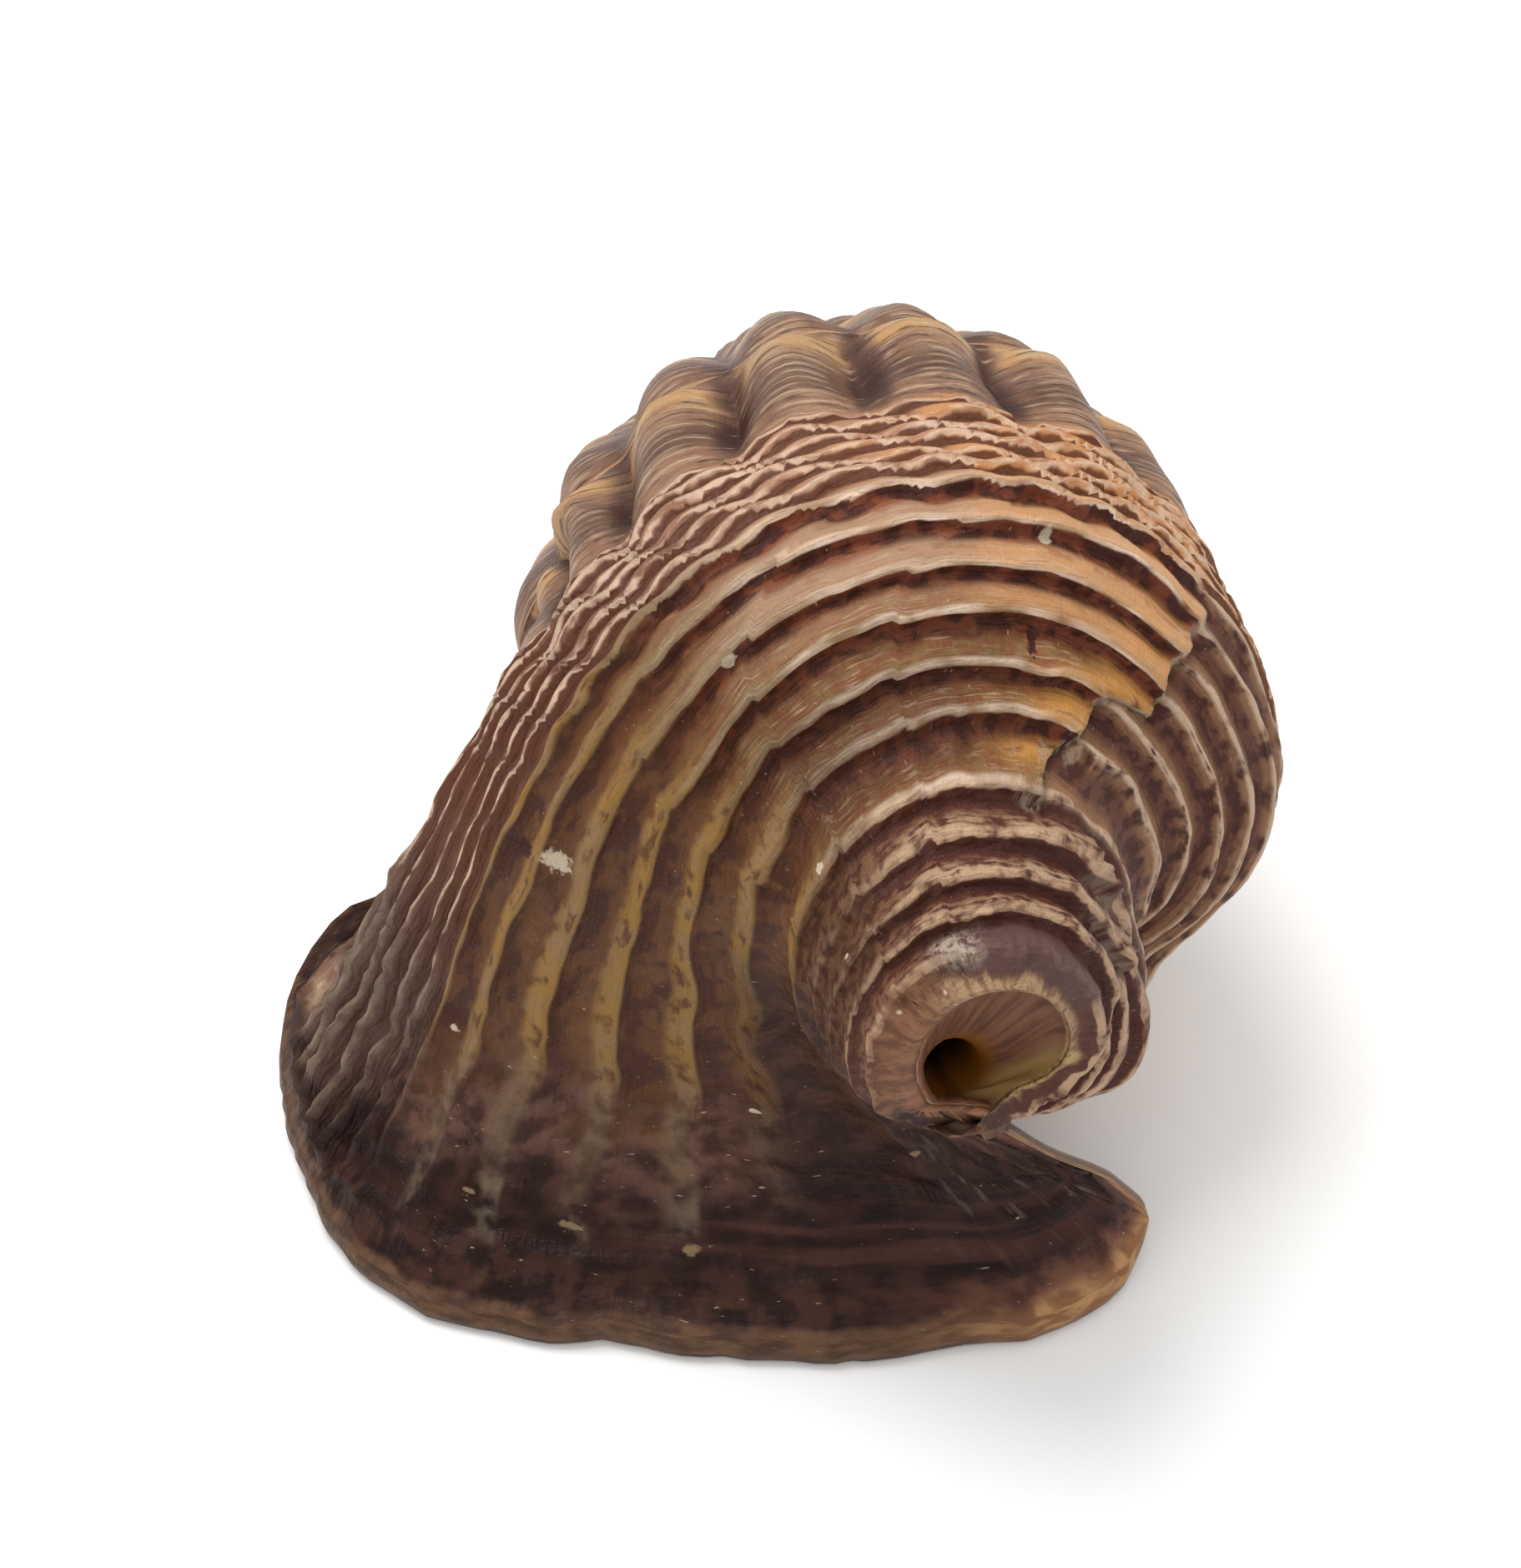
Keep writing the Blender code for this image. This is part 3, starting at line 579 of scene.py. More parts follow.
def with_lip_marks(height, angle, number, cord, from_edge):
    wing = ramp(angle, 195.0, 225.0) * (1.0 - ramp(number, 2.0, 6.5))
    rib = np.cos(2.0 * np.pi * cord) * (1.0 + 0.5 * patchy(angle / 9.0, number, 14))
    height = height + wing * WING_RIB_HEIGHT * rib
    lumps = patchy(angle / 6.0, number * 0.8, 16) + 0.6 * patchy(angle / 2.5, number * 1.6, 17)
    on_lip = ramp(angle, 205.0, 230.0) * (1.0 - 0.7 * ramp(number, 10.0, 11.5))
    height = height + LIP_LUMP_HEIGHT * lumps * on_lip
    pause = sum(strength * bump(from_edge, place, width) for place, width, strength in LIP_PAUSES)
    pause = pause * ramp(number, 3.0, 7.0) * (1.0 + patchy(number * 1.5, from_edge, 15))
    return height + PAUSE_HEIGHT * pause


print(len(LIP_PAUSES), "pauses of growth run along the margin")

# %% [markdown]
# ## Height of the cords
#
# Now the parts are put together. The wavy cords and the broad cords each have their own height, the folds
# above them carry only fine threads, and a patchy field makes every cord a little uneven. Near the neck and
# near the margin the broad cords are calmer.

# %% Height of the cords
CORD_HEIGHT = 0.42
RIPPLE_HEIGHT = 0.36
THREAD_HEIGHT = 0.17
CALM_EDGE = (1.5, 8.0)


def cord_height(angle, position, from_edge):
    """Height of the cords and marks over the even sheet in millimetres."""
    number = cord_of(position)
    cord = wavy_cord(angle, number)
    past = from_scar(angle, number)
    outline = cord_outline(angle, number, cord, past)
    thread = 0.5 + 0.5 * np.cos(4.0 * np.pi * cord)
    narrow = ramp(cord, -0.8, 0.4) * (1.0 - ramp(cord, 4.5, 7.0))
    calm = 0.55 - 0.4 * ramp(number, 9.5, 11.0)
    broad = ramp(cord, 4.5, 7.0) * (calm + (1.0 - calm) * ramp(from_edge, *CALM_EDGE))
    rings = ramp(number, 11.8, 12.6) * (1.0 - ramp(number, 15.2, 15.8))
    broad = broad * (1.0 - 0.55 * ramp(angle, 105.0, 150.0) * rings)
    above = 1.0 - ramp(cord, -1.0, 0.0)
    uneven = 1.0 + 0.28 * patchy(angle / 12.0, cord, 8) + 0.08 * patchy(angle / 3.0, cord * 1.7, 9)
    height = RIPPLE_HEIGHT * narrow * outline
    height = height + CORD_HEIGHT * broad * outline * (1.0 - 0.25 * to_the_left(angle))
    height = (height + THREAD_HEIGHT * above * thread) * uneven
    height = with_worn_ridge(with_scar(height, number, past), angle, number)
    return with_lip_marks(height, angle, number, cord, from_edge)


print("broad cords stand", CORD_HEIGHT, "mm high, wavy ones", RIPPLE_HEIGHT, "mm")

# %% [markdown]
# ## Laying a sheet
#
# A flat grid is the blank for every part of the shell. Its rows follow the turn and its columns the
# cords, and each corner is moved to its place on the surface. A screw modifier could wind an outline too,
# but it can't change size, relief and shape along the way. The grid also brings its map: turn and cord
# number are stored for the paint, with the distance from the margin, the depth inside and the scar.

# %% Laying a sheet
def facing(points):
    """Outward direction at every point of a sheet laid row by row."""
    along_rows = np.gradient(points, axis=0)
    across = np.gradient(points, axis=1)
    normal = np.cross(along_rows, across)
    return normal / np.maximum(np.linalg.norm(normal, axis=-1, keepdims=True), 1e-9)


def lay_sheet(name, points, turn, cord, edge, lining, scar):
    """Bend a flat grid so that its vertices take the given places."""
    rows, columns = points.shape[:2]
    bpy.ops.object.select_all(action="DESELECT")
    bpy.ops.mesh.primitive_grid_add(x_subdivisions=columns - 1, y_subdivisions=rows - 1, size=MM)
    sheet = bpy.context.object
    sheet.name = name
    mesh = sheet.data
    assert len(mesh.vertices) == rows * columns
    mesh.vertices.foreach_set("co", (points * MM).astype(np.float32).ravel())
    corner = np.zeros(len(mesh.loops), int)
    mesh.loops.foreach_get("vertex_index", corner)
    uv = np.stack([np.broadcast_to(turn, (rows, columns)).ravel(),
                   np.broadcast_to(cord, (rows, columns)).ravel()], axis=1)[corner]
    layer = mesh.uv_layers[0]
    layer.name = "growth"
    layer.uv.foreach_set("vector", uv.astype(np.float32).ravel())
    for label, values in (("edge", edge), ("lining", lining), ("scar", scar)):
        field = mesh.attributes.new(label, "FLOAT", "POINT")
        field.data.foreach_set("value", np.broadcast_to(values, (rows, columns)).astype(np.float32).ravel())
    mesh.update()
    return sheet


print("a sheet carries the map growth and three measures")

# %% [markdown]
# ## The spire
#
# The old whorls, from the tip down, are eight copies of the same law at smaller sizes. Each is laid from
# its seam to the line where the next one covers it, and starts on the line where the last one ended, so
# that the seams close without a gap. The tip is a small blunt cap, as on many grown shells.

# %% Spire
SPIRE_EDGE_DISTANCE = 40.0
NO_SCAR = 90.0
TIP_SETBACK = 0.5


def seam_angle(row):
    angle = INNER_LIP_TOP + (MOUTH_ANGLE - INNER_LIP_TOP) * row / ROWS
    leave = float(leave_angle(0.0))
    slow = leave + (SEAM_END_ANGLE - leave) * (angle - leave) / (MOUTH_ANGLE - leave)
    return np.where(angle <= leave, angle, slow)


rows_of_turn = np.arange(ROWS + 1)
sheets = []
tip_along = whorl_point(np.array(INNER_LIP_TOP - 360.0 * SPIRE_WHORLS), np.array(0.1))[1]
tip = lying(SPIRE_SIDE, tip_along - TIP_SETBACK, SPIRE_RISE)
line_before = np.broadcast_to(tip, (ROWS + 1, 3)).copy()
for whorl in range(SPIRE_WHORLS):
    angle = (seam_angle(rows_of_turn) - 360.0 * (SPIRE_WHORLS - whorl))[:, None]
    position = POSITIONS[None, :SEAM_COLUMN + 1]
    points = spiral_surface(*np.broadcast_arrays(angle, position))
    size = growth(angle, LAST_OUT_GROWTH, OUT_SWITCH_ANGLE)
    points = points + facing(points) * (cord_height(angle, position, SPIRE_EDGE_DISTANCE) * size)[..., None]
    points[:, 0] = line_before
    if whorl == 0:
        points[-1, 0] = points[0, -1]
    sheets.append(lay_sheet("whorl", points, angle / 360.0, wavy_cord(angle, cord_of(position)),
                            SPIRE_EDGE_DISTANCE, 0.0, NO_SCAR))
    line_before = points[:, -1]
    start_of_last = points[-1]
print("spire:", SPIRE_WHORLS, "whorls")

# %% [markdown]
# ## The last whorl
#
# One sheet makes the base, the neck and the flared lip, from the inner lip once round to the margin. Its
# relief fades out just before the margin, where the edge is nibbled a little: no lip stays whole on a
# beach. The first row and the first column are laid on the spire, so the two can be merged later.

# %% Last whorl with base, neck and lip
def step_lengths(points):
    return np.linalg.norm(np.diff(points, axis=0), axis=-1)


angle = start_angle(POSITIONS)[None, :]
angle = angle + (MOUTH_ANGLE - angle) * rows_of_turn[:, None] / ROWS
position = np.broadcast_to(POSITIONS[None, :], angle.shape)
outside = outer_surface(angle, position)
run = step_lengths(outside)
from_margin = np.vstack([np.cumsum(run[::-1], axis=0)[::-1], np.zeros((1, run.shape[1]))])
fade = ramp(from_margin, 0.2, 1.2) * (1.0 - 0.9 * ramp(position, 0.985, 1.0))
outside = outside + facing(outside) * (cord_height(angle, position, from_margin) * fade)[..., None]
outward = outside[-1] - outside[-6]
outward = outward / np.maximum(np.linalg.norm(outward, axis=-1, keepdims=True), 1e-9)
along_edge = np.concatenate([[0.0], np.cumsum(step_lengths(outside[-1]))])
nibble = 0.20 * patchy_line(along_edge / 1.9, 18) + 0.10 * patchy_line(along_edge / 0.7, 19)
nibble = nibble * ramp(along_edge, 1.0, 3.0) * (1.0 - ramp(POSITIONS, 0.92, 0.97))
reach = (1.0 - ramp(from_margin, 0.0, 1.6)) * nibble
outside = outside + outward[None] * reach[..., None]
outside[:, 0] = line_before
outside[0, :SEAM_COLUMN + 1] = start_of_last
outside[-1, 0] = outside[0, SEAM_COLUMN]
outside[-1, -1] = outside[0, -1]
sheets.append(lay_sheet("last_whorl", outside, angle / 360.0, wavy_cord(angle, cord_of(position)),
                        from_margin, 0.0, from_scar(angle, cord_of(position))))
print("last whorl: margin is", round(float(step_lengths(outside[-1]).sum()), 1), "mm long")

# %% [markdown]
# ## Mouth
#
# Under the lip the shell is hollow. The sheet turns round the margin, runs flat along the table, then
# climbs inside the wall and ends where the hollow winds out of sight. A wall made by thickening the outside
# would double the relief on the inside, where a real shell is smooth, so the inside is laid as its own sheet.

# %% Measures of the mouth
WALL = 1.25
CALLUS = 0.25
RIM_REST = 1.5
HOLLOW_START_ANGLE = 40.0
LIP_END = np.array((0.15, 0.5, -0.45))
LIP_WING = np.array((0.9, -0.3, -0.9))
MOUTH_TUCK = np.array((0.0, 4.2, 2.0))
HOLLOW_TAPER = 0.16
HOLLOW_TURNS = 0.6


def inward(points):
    """Direction in plan from the margin toward the middle of the mouth."""
    run = np.gradient(points, axis=0)
    side = np.stack([-run[:, 1], run[:, 0], np.zeros(len(run))], axis=1)
    return side / np.maximum(np.linalg.norm(side, axis=1, keepdims=True), 1e-9)


def surface_facing(surface, angle, position):
    along_turn = surface(np.minimum(angle + 1.0, MOUTH_ANGLE), position) - surface(angle - 1.0, position)
    across = surface(angle, position + 0.01) - surface(angle, position - 0.01)
    normal = np.cross(along_turn, across)
    return normal / np.maximum(np.linalg.norm(normal, axis=-1, keepdims=True), 1e-9)


def even_surface(angle, position):
    return spiral_surface(angle, position, False)


def even_outside(angle, position):
    return outer_surface(angle, position, False)


def between(start, end, share):
    return start + (end - start) * share


print("wall is", WALL, "mm thick")

# %% [markdown]
# ## The hollow
#
# Each loop round the hollow has two halves. The front half follows the inside of the outer wall, one
# wall thickness in. The back half lies on the whorl before, under a thin glaze of callus. At the mouth the
# front half rests on the table; deeper in it lets go and climbs.

# %% Hollow
def hollow_line(depth, across, behind):
    """One loop round the hollow; depth runs from 0 at the mouth to 1 at the blind end."""
    angle = between(MOUTH_ANGLE, HOLLOW_START_ANGLE, depth)
    opened = ramp(angle, 130.0, 240.0)
    low = between(0.33, 0.30, opened)
    high = between(0.70, 0.825, opened)
    settle = ramp(1.0 - depth, 0.8, 1.0)
    position = low + (high - low) * across
    point = even_outside(angle, position) - surface_facing(even_outside, angle, position) * WALL
    rest = margin_point(position)
    rest[:, 2] = 0.0
    rest = rest + inward(rest) * RIM_REST
    front = between(point, rest, settle)
    tucked = (ramp(across, 0.78, 1.0) * (1.0 - ramp(depth, 0.0, 0.35)))[:, None]
    front = front + MOUTH_TUCK * tucked
    deep = ramp(depth, 0.0, 0.25)
    position = between(behind, between(0.47, 0.77, (behind - SEAM_LINE) / (1.0 - SEAM_LINE)), deep)
    angle = between(start_angle(behind), HOLLOW_START_ANGLE - 360.0, depth)
    back = even_surface(angle, position)
    back = back + surface_facing(even_surface, angle, position) * CALLUS * ramp(depth, 0.0, 0.06)
    return front, back


print("hollow winds back from", MOUTH_ANGLE, "to", HOLLOW_START_ANGLE, "degrees")

# %% [markdown]
# ## Rails and loops
#
# A rail is one line that runs all along the margin. The rails turn the sheet over the rim and set it on
# the table. Then loop after loop goes into the hollow, and the last ones shrink until they close.

# %% Rails round the margin
# share of the way out and of the way down, for each rail from the margin to the table
RAILS = [(0.12, 0.12), (0.2, 0.5), (0.12, 0.88), (-0.1, 1.0)]

margin = outside[-1]
inner_lip = outside[0, SEAM_COLUMN:][::-1]
across = POSITIONS
behind = POSITIONS[SEAM_COLUMN:][::-1]
at_end = ramp(across, 0.86, 0.92)[:, None]
at_wing = 1.0 - ramp(across, 0.12, 0.26)[:, None]
off_table = np.maximum(at_end, at_wing)
thick = LIP_END * at_end + LIP_WING * at_wing
step_in = inward(margin)
on_table = margin * (1.0, 1.0, 0.0)
rails = [margin]
for out_share, drop in RAILS:
    resting = between(margin, on_table, drop) - step_in * out_share
    rails.append(between(resting, margin + thick * drop, off_table))
flat = on_table + step_in * RIM_REST * 0.9
rails.append(between(flat, margin + 2.0 * thick, off_table))
for rail in rails[1:]:
    rail[0] = margin[0]
    rail[-1] = margin[-1]
print("rim of the lip:", len(rails), "rails")

# %% Loops into the hollow
DEPTHS = np.concatenate([np.linspace(0.0, 0.06, 4), np.linspace(0.08, 1.0, 40)])
RAIL_LINING = [0.0, 0.0, 0.1, 0.3, 0.6, 1.0]

loops = [np.vstack([rail, inner_lip[1:]]) for rail in rails]
lining = list(RAIL_LINING)
for depth in DEPTHS:
    front, back = hollow_line(depth, across, behind)
    loop = np.vstack([front, back[1:]])
    loop[-1] = loop[0]
    middle = loop.mean(axis=0)
    size = math.sqrt(min((1.0 - depth) / HOLLOW_TAPER, 1.0))
    loops.append(middle + (loop - middle) * size)
    lining.append(1.0)
loops = np.array(loops)
loops[:, -1] = loops[:, 0]
cord = np.concatenate([cord_of(across), cord_of(behind[1:])])[None, :]
turn = (MOUTH_ANGLE / 360.0 - np.linspace(0.0, HOLLOW_TURNS, len(loops)))[:, None]
sheets.append(lay_sheet("mouth", loops, turn, cord, 0.0, np.array(lining)[:, None], NO_SCAR))
print("mouth:", len(loops), "loops of", loops.shape[1], "points")

# %% [markdown]
# ## The siphonal hole
#
# The animal breathes through a tube that lies in this hole. It opens as a shallow dish, wider on the
# right, and then turns down to the left into a narrow channel. The rim of the last whorl is taken over
# ring by ring, each ring a little smaller, shifted and deeper, until the last one closes in the dark.

# %% Siphonal hole
along_axis = lying(0.0, 1.0, 0.0) - lying(0.0, 0.0, 0.0)
side_axis = np.array((1.0, 0.0, 0.0))
dorsal_axis = lying(0.0, 0.0, 1.0) - lying(0.0, 0.0, 0.0)
rim = outside[:, -1]
rim_middle = lying(RIM_SIDE, RIM_ALONG, RIM_DORSAL)
# share of the rim's width and height, shift to the side and up, depth
CANAL_STAGES = [
    (1.00, 1.00, 0.00, 0.00, 0.00), (0.98, 0.98, 0.04, 0.00, -0.07), (0.94, 0.95, 0.12, 0.02, -0.06),
    (0.89, 0.92, 0.21, 0.02, 0.05), (0.84, 0.89, 0.26, -0.02, 0.25), (0.78, 0.84, 0.22, -0.14, 0.50),
    (0.70, 0.77, 0.10, -0.38, 0.78), (0.61, 0.69, -0.08, -0.70, 1.05), (0.51, 0.60, -0.28, -1.00, 1.30),
    (0.43, 0.53, -0.44, -1.24, 1.60), (0.38, 0.47, -0.54, -1.40, 2.0), (0.35, 0.43, -0.60, -1.50, 3.0),
    (0.31, 0.38, -0.60, -1.45, 5.0), (0.26, 0.31, -0.58, -1.30, 7.0), (0.0, 0.0, -0.58, -1.30, 7.5),
]
# depth in millimetres, and the lining number that the paint reads there
CANAL_LINING = ((0.0, 0.1, 0.5, 9.0), (0.0, 2.0, 3.0, 11.5))
LEAST_SLANT = 0.4

offset = rim - rim_middle
canal = []
for wide, tall, to_side, up, depth in CANAL_STAGES:
    across_rim = (offset @ side_axis)[:, None] * side_axis * wide
    up_rim = (offset @ dorsal_axis)[:, None] * dorsal_axis * tall
    along_rim = (offset @ along_axis)[:, None] * along_axis * max(wide, LEAST_SLANT)
    canal.append(rim_middle + across_rim + up_rim + along_rim + side_axis * to_side
                 + dorsal_axis * up - along_axis * depth)
canal = np.array(canal).transpose(1, 0, 2)
canal[:, 0] = rim
canal[-1] = canal[0]
canal_depth = np.array([stage[4] for stage in CANAL_STAGES])[None, :]
canal_lining = np.interp(canal_depth, *CANAL_LINING)
sheets.append(lay_sheet("canal", canal, angle[:, -1:] / 360.0, LAST_CORD + canal_depth,
                        SPIRE_EDGE_DISTANCE, canal_lining, NO_SCAR))
print("siphonal hole is", round(float(np.ptp(canal[:, 6] @ side_axis)), 1), "mm wide")

# %% [markdown]
# ## One shell
#
# The sheets share their border points, so they are joined and merged by distance, which welds the seams.
# The few open edges at the tip are filled. Then all faces are turned outward and shaded smooth, because
# the relief is fine enough to need no sharp edges.

# %% Join the sheets into one shell
WELD_DISTANCE = 0.002

bpy.ops.object.select_all(action="DESELECT")
for sheet in sheets:
    sheet.select_set(True)
bpy.context.view_layer.objects.active = sheets[0]
bpy.ops.object.join()
shell = bpy.context.object
shell.name = "cerith_shell"
bpy.ops.object.mode_set(mode="EDIT")
bpy.ops.mesh.select_all(action="SELECT")
bpy.ops.mesh.remove_doubles(threshold=WELD_DISTANCE * MM)
bpy.ops.mesh.select_all(action="DESELECT")
bpy.ops.mesh.select_non_manifold()
bpy.ops.mesh.fill()
bpy.ops.mesh.select_all(action="SELECT")
bpy.ops.mesh.normals_make_consistent(inside=False)
bpy.ops.mesh.select_all(action="DESELECT")
bpy.ops.object.mode_set(mode="OBJECT")
bpy.ops.object.shade_smooth()
print("shell:", sum(len(f.vertices) - 2 for f in shell.data.polygons), "triangles")

# %% [markdown]
# ## Colour
#
# The snail lays down colour with the same edge of its mantle that builds the wall, so the bands run
# with the cords: a thin pale crest, a dark red-brown band right below it and a broad tan slope. The pale
# crest is partly a painted highlight, and the dark band is partly painted shadow under the crest. A picture
# wrapped round the shell would stretch at the neck and show a seam. Here everything is painted by nodes,
# from two numbers that every corner of the mesh carries: the turn and the cord number. Small functions
# stand for the nodes, so that a rule of colour reads like a line of arithmetic.

# %% Small tools for the shader
skin = bpy.data.materials.new("shell_skin")
skin.use_nodes = True
tree = skin.node_tree
surface = tree.nodes["Principled BSDF"]


def feed(socket, value):
    """Give a socket a number, a colour or another socket."""
    if isinstance(value, bpy.types.NodeSocket):
        tree.links.new(value, socket)
    elif isinstance(value, tuple):
        socket.default_value = (*value, 1.0)
    else:
        socket.default_value = value


def calc(operation, *values):
    node = tree.nodes.new("ShaderNodeMath")
    node.operation = operation
    for socket, value in zip(node.inputs, values):
        feed(socket, value)
    return node.outputs[0]


def plus(*values):
    total = values[0]
    for value in values[1:]:
        total = calc("ADD", total, value)
    return total


def times(*values):
    total = values[0]
    for value in values[1:]:
        total = calc("MULTIPLY", total, value)
    return total


def soft(value, start, full):
    """0 before start, 1 after full, smooth between; start may be the larger one."""
    node = tree.nodes.new("ShaderNodeMapRange")
    node.interpolation_type = "SMOOTHSTEP"
    falling = start > full
    feed(node.inputs["Value"], value)
    node.inputs["From Min"].default_value = min(start, full)
    node.inputs["From Max"].default_value = max(start, full)
    node.inputs["To Min"].default_value = 1.0 if falling else 0.0
    node.inputs["To Max"].default_value = 0.0 if falling else 1.0
    return node.outputs["Result"]


def window(value, start, full, fade, end):
    """1 between full and fade, 0 before start and after end."""
    return times(soft(value, start, full), soft(value, end, fade))


def blend(share, low, high):
    node = tree.nodes.new("ShaderNodeMix")
    node.data_type = "RGBA"
    feed(node.inputs["Factor"], share)
    feed(node.inputs[6], low)
    feed(node.inputs[7], high)
    return node.outputs[2]


def painted(under, colour, *masks):
    """Lay a colour over a paint, as strongly as all the masks together allow."""
    return blend(times(*masks), under, colour)


def attribute(name):
    node = tree.nodes.new("ShaderNodeAttribute")
    node.attribute_name = name
    return node.outputs["Fac"]


print("a plain material starts with", len(tree.nodes), "nodes")

# %% [markdown]
# ## Where on the shell
#
# The map called growth holds the turn and the cord number. Three more measures say how far a place is
# from the margin of the lip, how deep it is inside the mouth or the siphonal hole, and on which side of
# the mended scar it lies. A pattern that reads them follows the growth of the shell wherever it bends.

# %% Read the map of the shell
growth_map = tree.nodes.new("ShaderNodeUVMap")
growth_map.uv_map = "growth"
split = tree.nodes.new("ShaderNodeSeparateXYZ")
tree.links.new(growth_map.outputs["UV"], split.inputs[0])
turn_angle = times(split.outputs["X"], 360.0)
cord_number = split.outputs["Y"]
edge_distance = attribute("edge")
lining_depth = attribute("lining")
scar_distance = attribute("scar")
print("paint reads turn, cord, edge, lining and scar")

# %% [markdown]
# ## Clouds and streaks
#
# Pigment comes in clouds, blots and streaks that are drawn out along the growth. One noise does for all
# of them when it is stretched: few patches to a degree of turn and many to a cord give long streaks, and
# the other way round gives growth lines. A measure that is ruffled by a noise gets a ragged edge.

# %% Noises that the colours share
def cloud(x, y, z, detail):
    """Cloudy values near 0.5, in patches one unit across."""
    join = tree.nodes.new("ShaderNodeCombineXYZ")
    for socket, value in zip(join.inputs, (x, y, z)):
        feed(socket, value)
    node = tree.nodes.new("ShaderNodeTexNoise")
    node.inputs["Scale"].default_value = 1.0
    node.inputs["Detail"].default_value = detail
    tree.links.new(join.outputs[0], node.inputs["Vector"])
    return node.outputs["Fac"]


def patches(per_degree, per_cord, detail, seed):
    """Cloudy values stretched by so many patches to a degree of turn and to a cord."""
    return cloud(times(turn_angle, per_degree), times(cord_number, per_cord), seed, detail)


def ruffle(value, noise, amount):
    """Push a measure to and fro by a noise."""
    return plus(value, times(noise, amount))


def mottled(low, high, start, full):
    """Two colours in small clouds."""
    return blend(soft(mottle_small, start, full), low, high)


ragged = plus(times(patches(0.13, 1.3, 3.0, 1.0), 0.5), -0.25)
streaks = patches(0.07, 7.0, 3.0, 2.0)
blotches = patches(0.075, 1.6, 3.0, 7.0)
mottle = patches(0.10, 0.7, 2.0, 3.0)
mottle_small = patches(0.22, 3.2, 3.0, 4.0)
grain = patches(0.9, 9.0, 2.0, 8.0)
fine_lines = patches(2.2, 0.6, 2.0, 5.0)
threads = patches(0.15, 16.0, 1.0, 10.0)
streaky_clouds = ruffle(mottle_small, streaks, 0.5)
cloudy_blots = ruffle(blotches, mottle_small, 0.5)
ragged_cord = plus(cord_number, ragged)
print("clouds and streaks use", len(tree.nodes), "nodes")

# %% [markdown]
# ## Bands across one cord
#
# The fraction of the cord number runs from 0 on one crest to 1 on the next, so a band that is written
# once repeats on every cord. The crest is pale, partly worn and partly a painted highlight, and the dark
# band that hugs its lower side is red-brown pigment and partly painted shadow under the crest.

# %% Bands across one cord
share = calc("FRACT", ruffle(cord_number, ragged, 0.14))
ragged_share = calc("FRACT", ruffle(cord_number, ragged, 0.5))
to_crest = calc("MINIMUM", share, calc("SUBTRACT", 1.0, share))
crest = calc("MAXIMUM", soft(share, 0.80, 0.93), soft(share, 0.055, 0.03))
crest_bright = soft(ruffle(patches(0.10, 1.0, 2.0, 13.0), streaks, 0.5), 0.58, 0.92)
under_reach = ruffle(ragged_share, blotches, -1.1)
# Mask of the dark band under each crest: maroon pigment, and partly painted shadow under the crest's drop.
band_and_shadow_under_crest = times(soft(share, 0.03, 0.06), soft(under_reach, 0.0, -0.30), soft(share, 0.62, 0.45))
print("crest and band use", len(tree.nodes), "nodes")

# %% [markdown]
# ## The broad cords
#
# On top of the last whorl the colours are clearest: pale crests, maroon bands, red slopes that turn olive
# further down, and a golden stretch that the snail laid down right after the break. Every line lays one
# colour over the last, as a painter glazes: the colour first, then the masks that say where.

# %% Broad cords: slope, band and crest
CREST_PALE_AND_HIGHLIGHT = (0.74, 0.57, 0.43)
CREST_DULL = (0.40, 0.25, 0.145)
CREST_KHAKI = (0.36, 0.245, 0.125)
MAROON = (0.165, 0.042, 0.020)
MAROON_DEEP = (0.050, 0.014, 0.010)
SLOPE_RED = (0.235, 0.088, 0.036)
SLOPE_DARK = (0.130, 0.050, 0.018)
OLIVE = (0.255, 0.145, 0.055)

low_slope = blend(soft(mottle, 0.42, 0.58), SLOPE_DARK, SLOPE_RED)
high_slope = blend(soft(streaky_clouds, 0.62, 0.88), SLOPE_RED, OLIVE)
slope = blend(soft(ruffle(share, streaks, 0.35), 0.42, 0.92), low_slope, high_slope)
slope = painted(slope, MAROON_DEEP, soft(streaks, 0.54, 0.62), 0.35)
band = mottled(MAROON_DEEP, MAROON, 0.42, 0.6)
to_left = soft(ruffle(turn_angle, mottle, 30.0), 118.0, 150.0)
# Crest paint, pale: partly worn colour, partly a painted highlight.
crest_paint = painted(blend(crest_bright, CREST_DULL, CREST_PALE_AND_HIGHLIGHT), CREST_KHAKI, to_left, 0.85)
# Dark band under the crest, partly painted shadow, then the pale crest, partly a painted highlight.
broad = painted(slope, band, band_and_shadow_under_crest, 0.95)
broad = painted(broad, crest_paint, crest, soft(ruffle(crest_bright, mottle_small, 1.2), 0.28, 0.75))
print("plain cords use", len(tree.nodes), "nodes")

# %% Broad cords: gold, warm and dark stretches
GOLD = (0.58, 0.275, 0.070)
TOP_TAN = (0.52, 0.33, 0.22)
SHADE_BROWN = (0.060, 0.024, 0.010)
WARM_ORANGE = (0.62, 0.31, 0.125)
THREAD_PALE = (0.56, 0.40, 0.28)
SLOPE_RUST = (0.270, 0.100, 0.045)

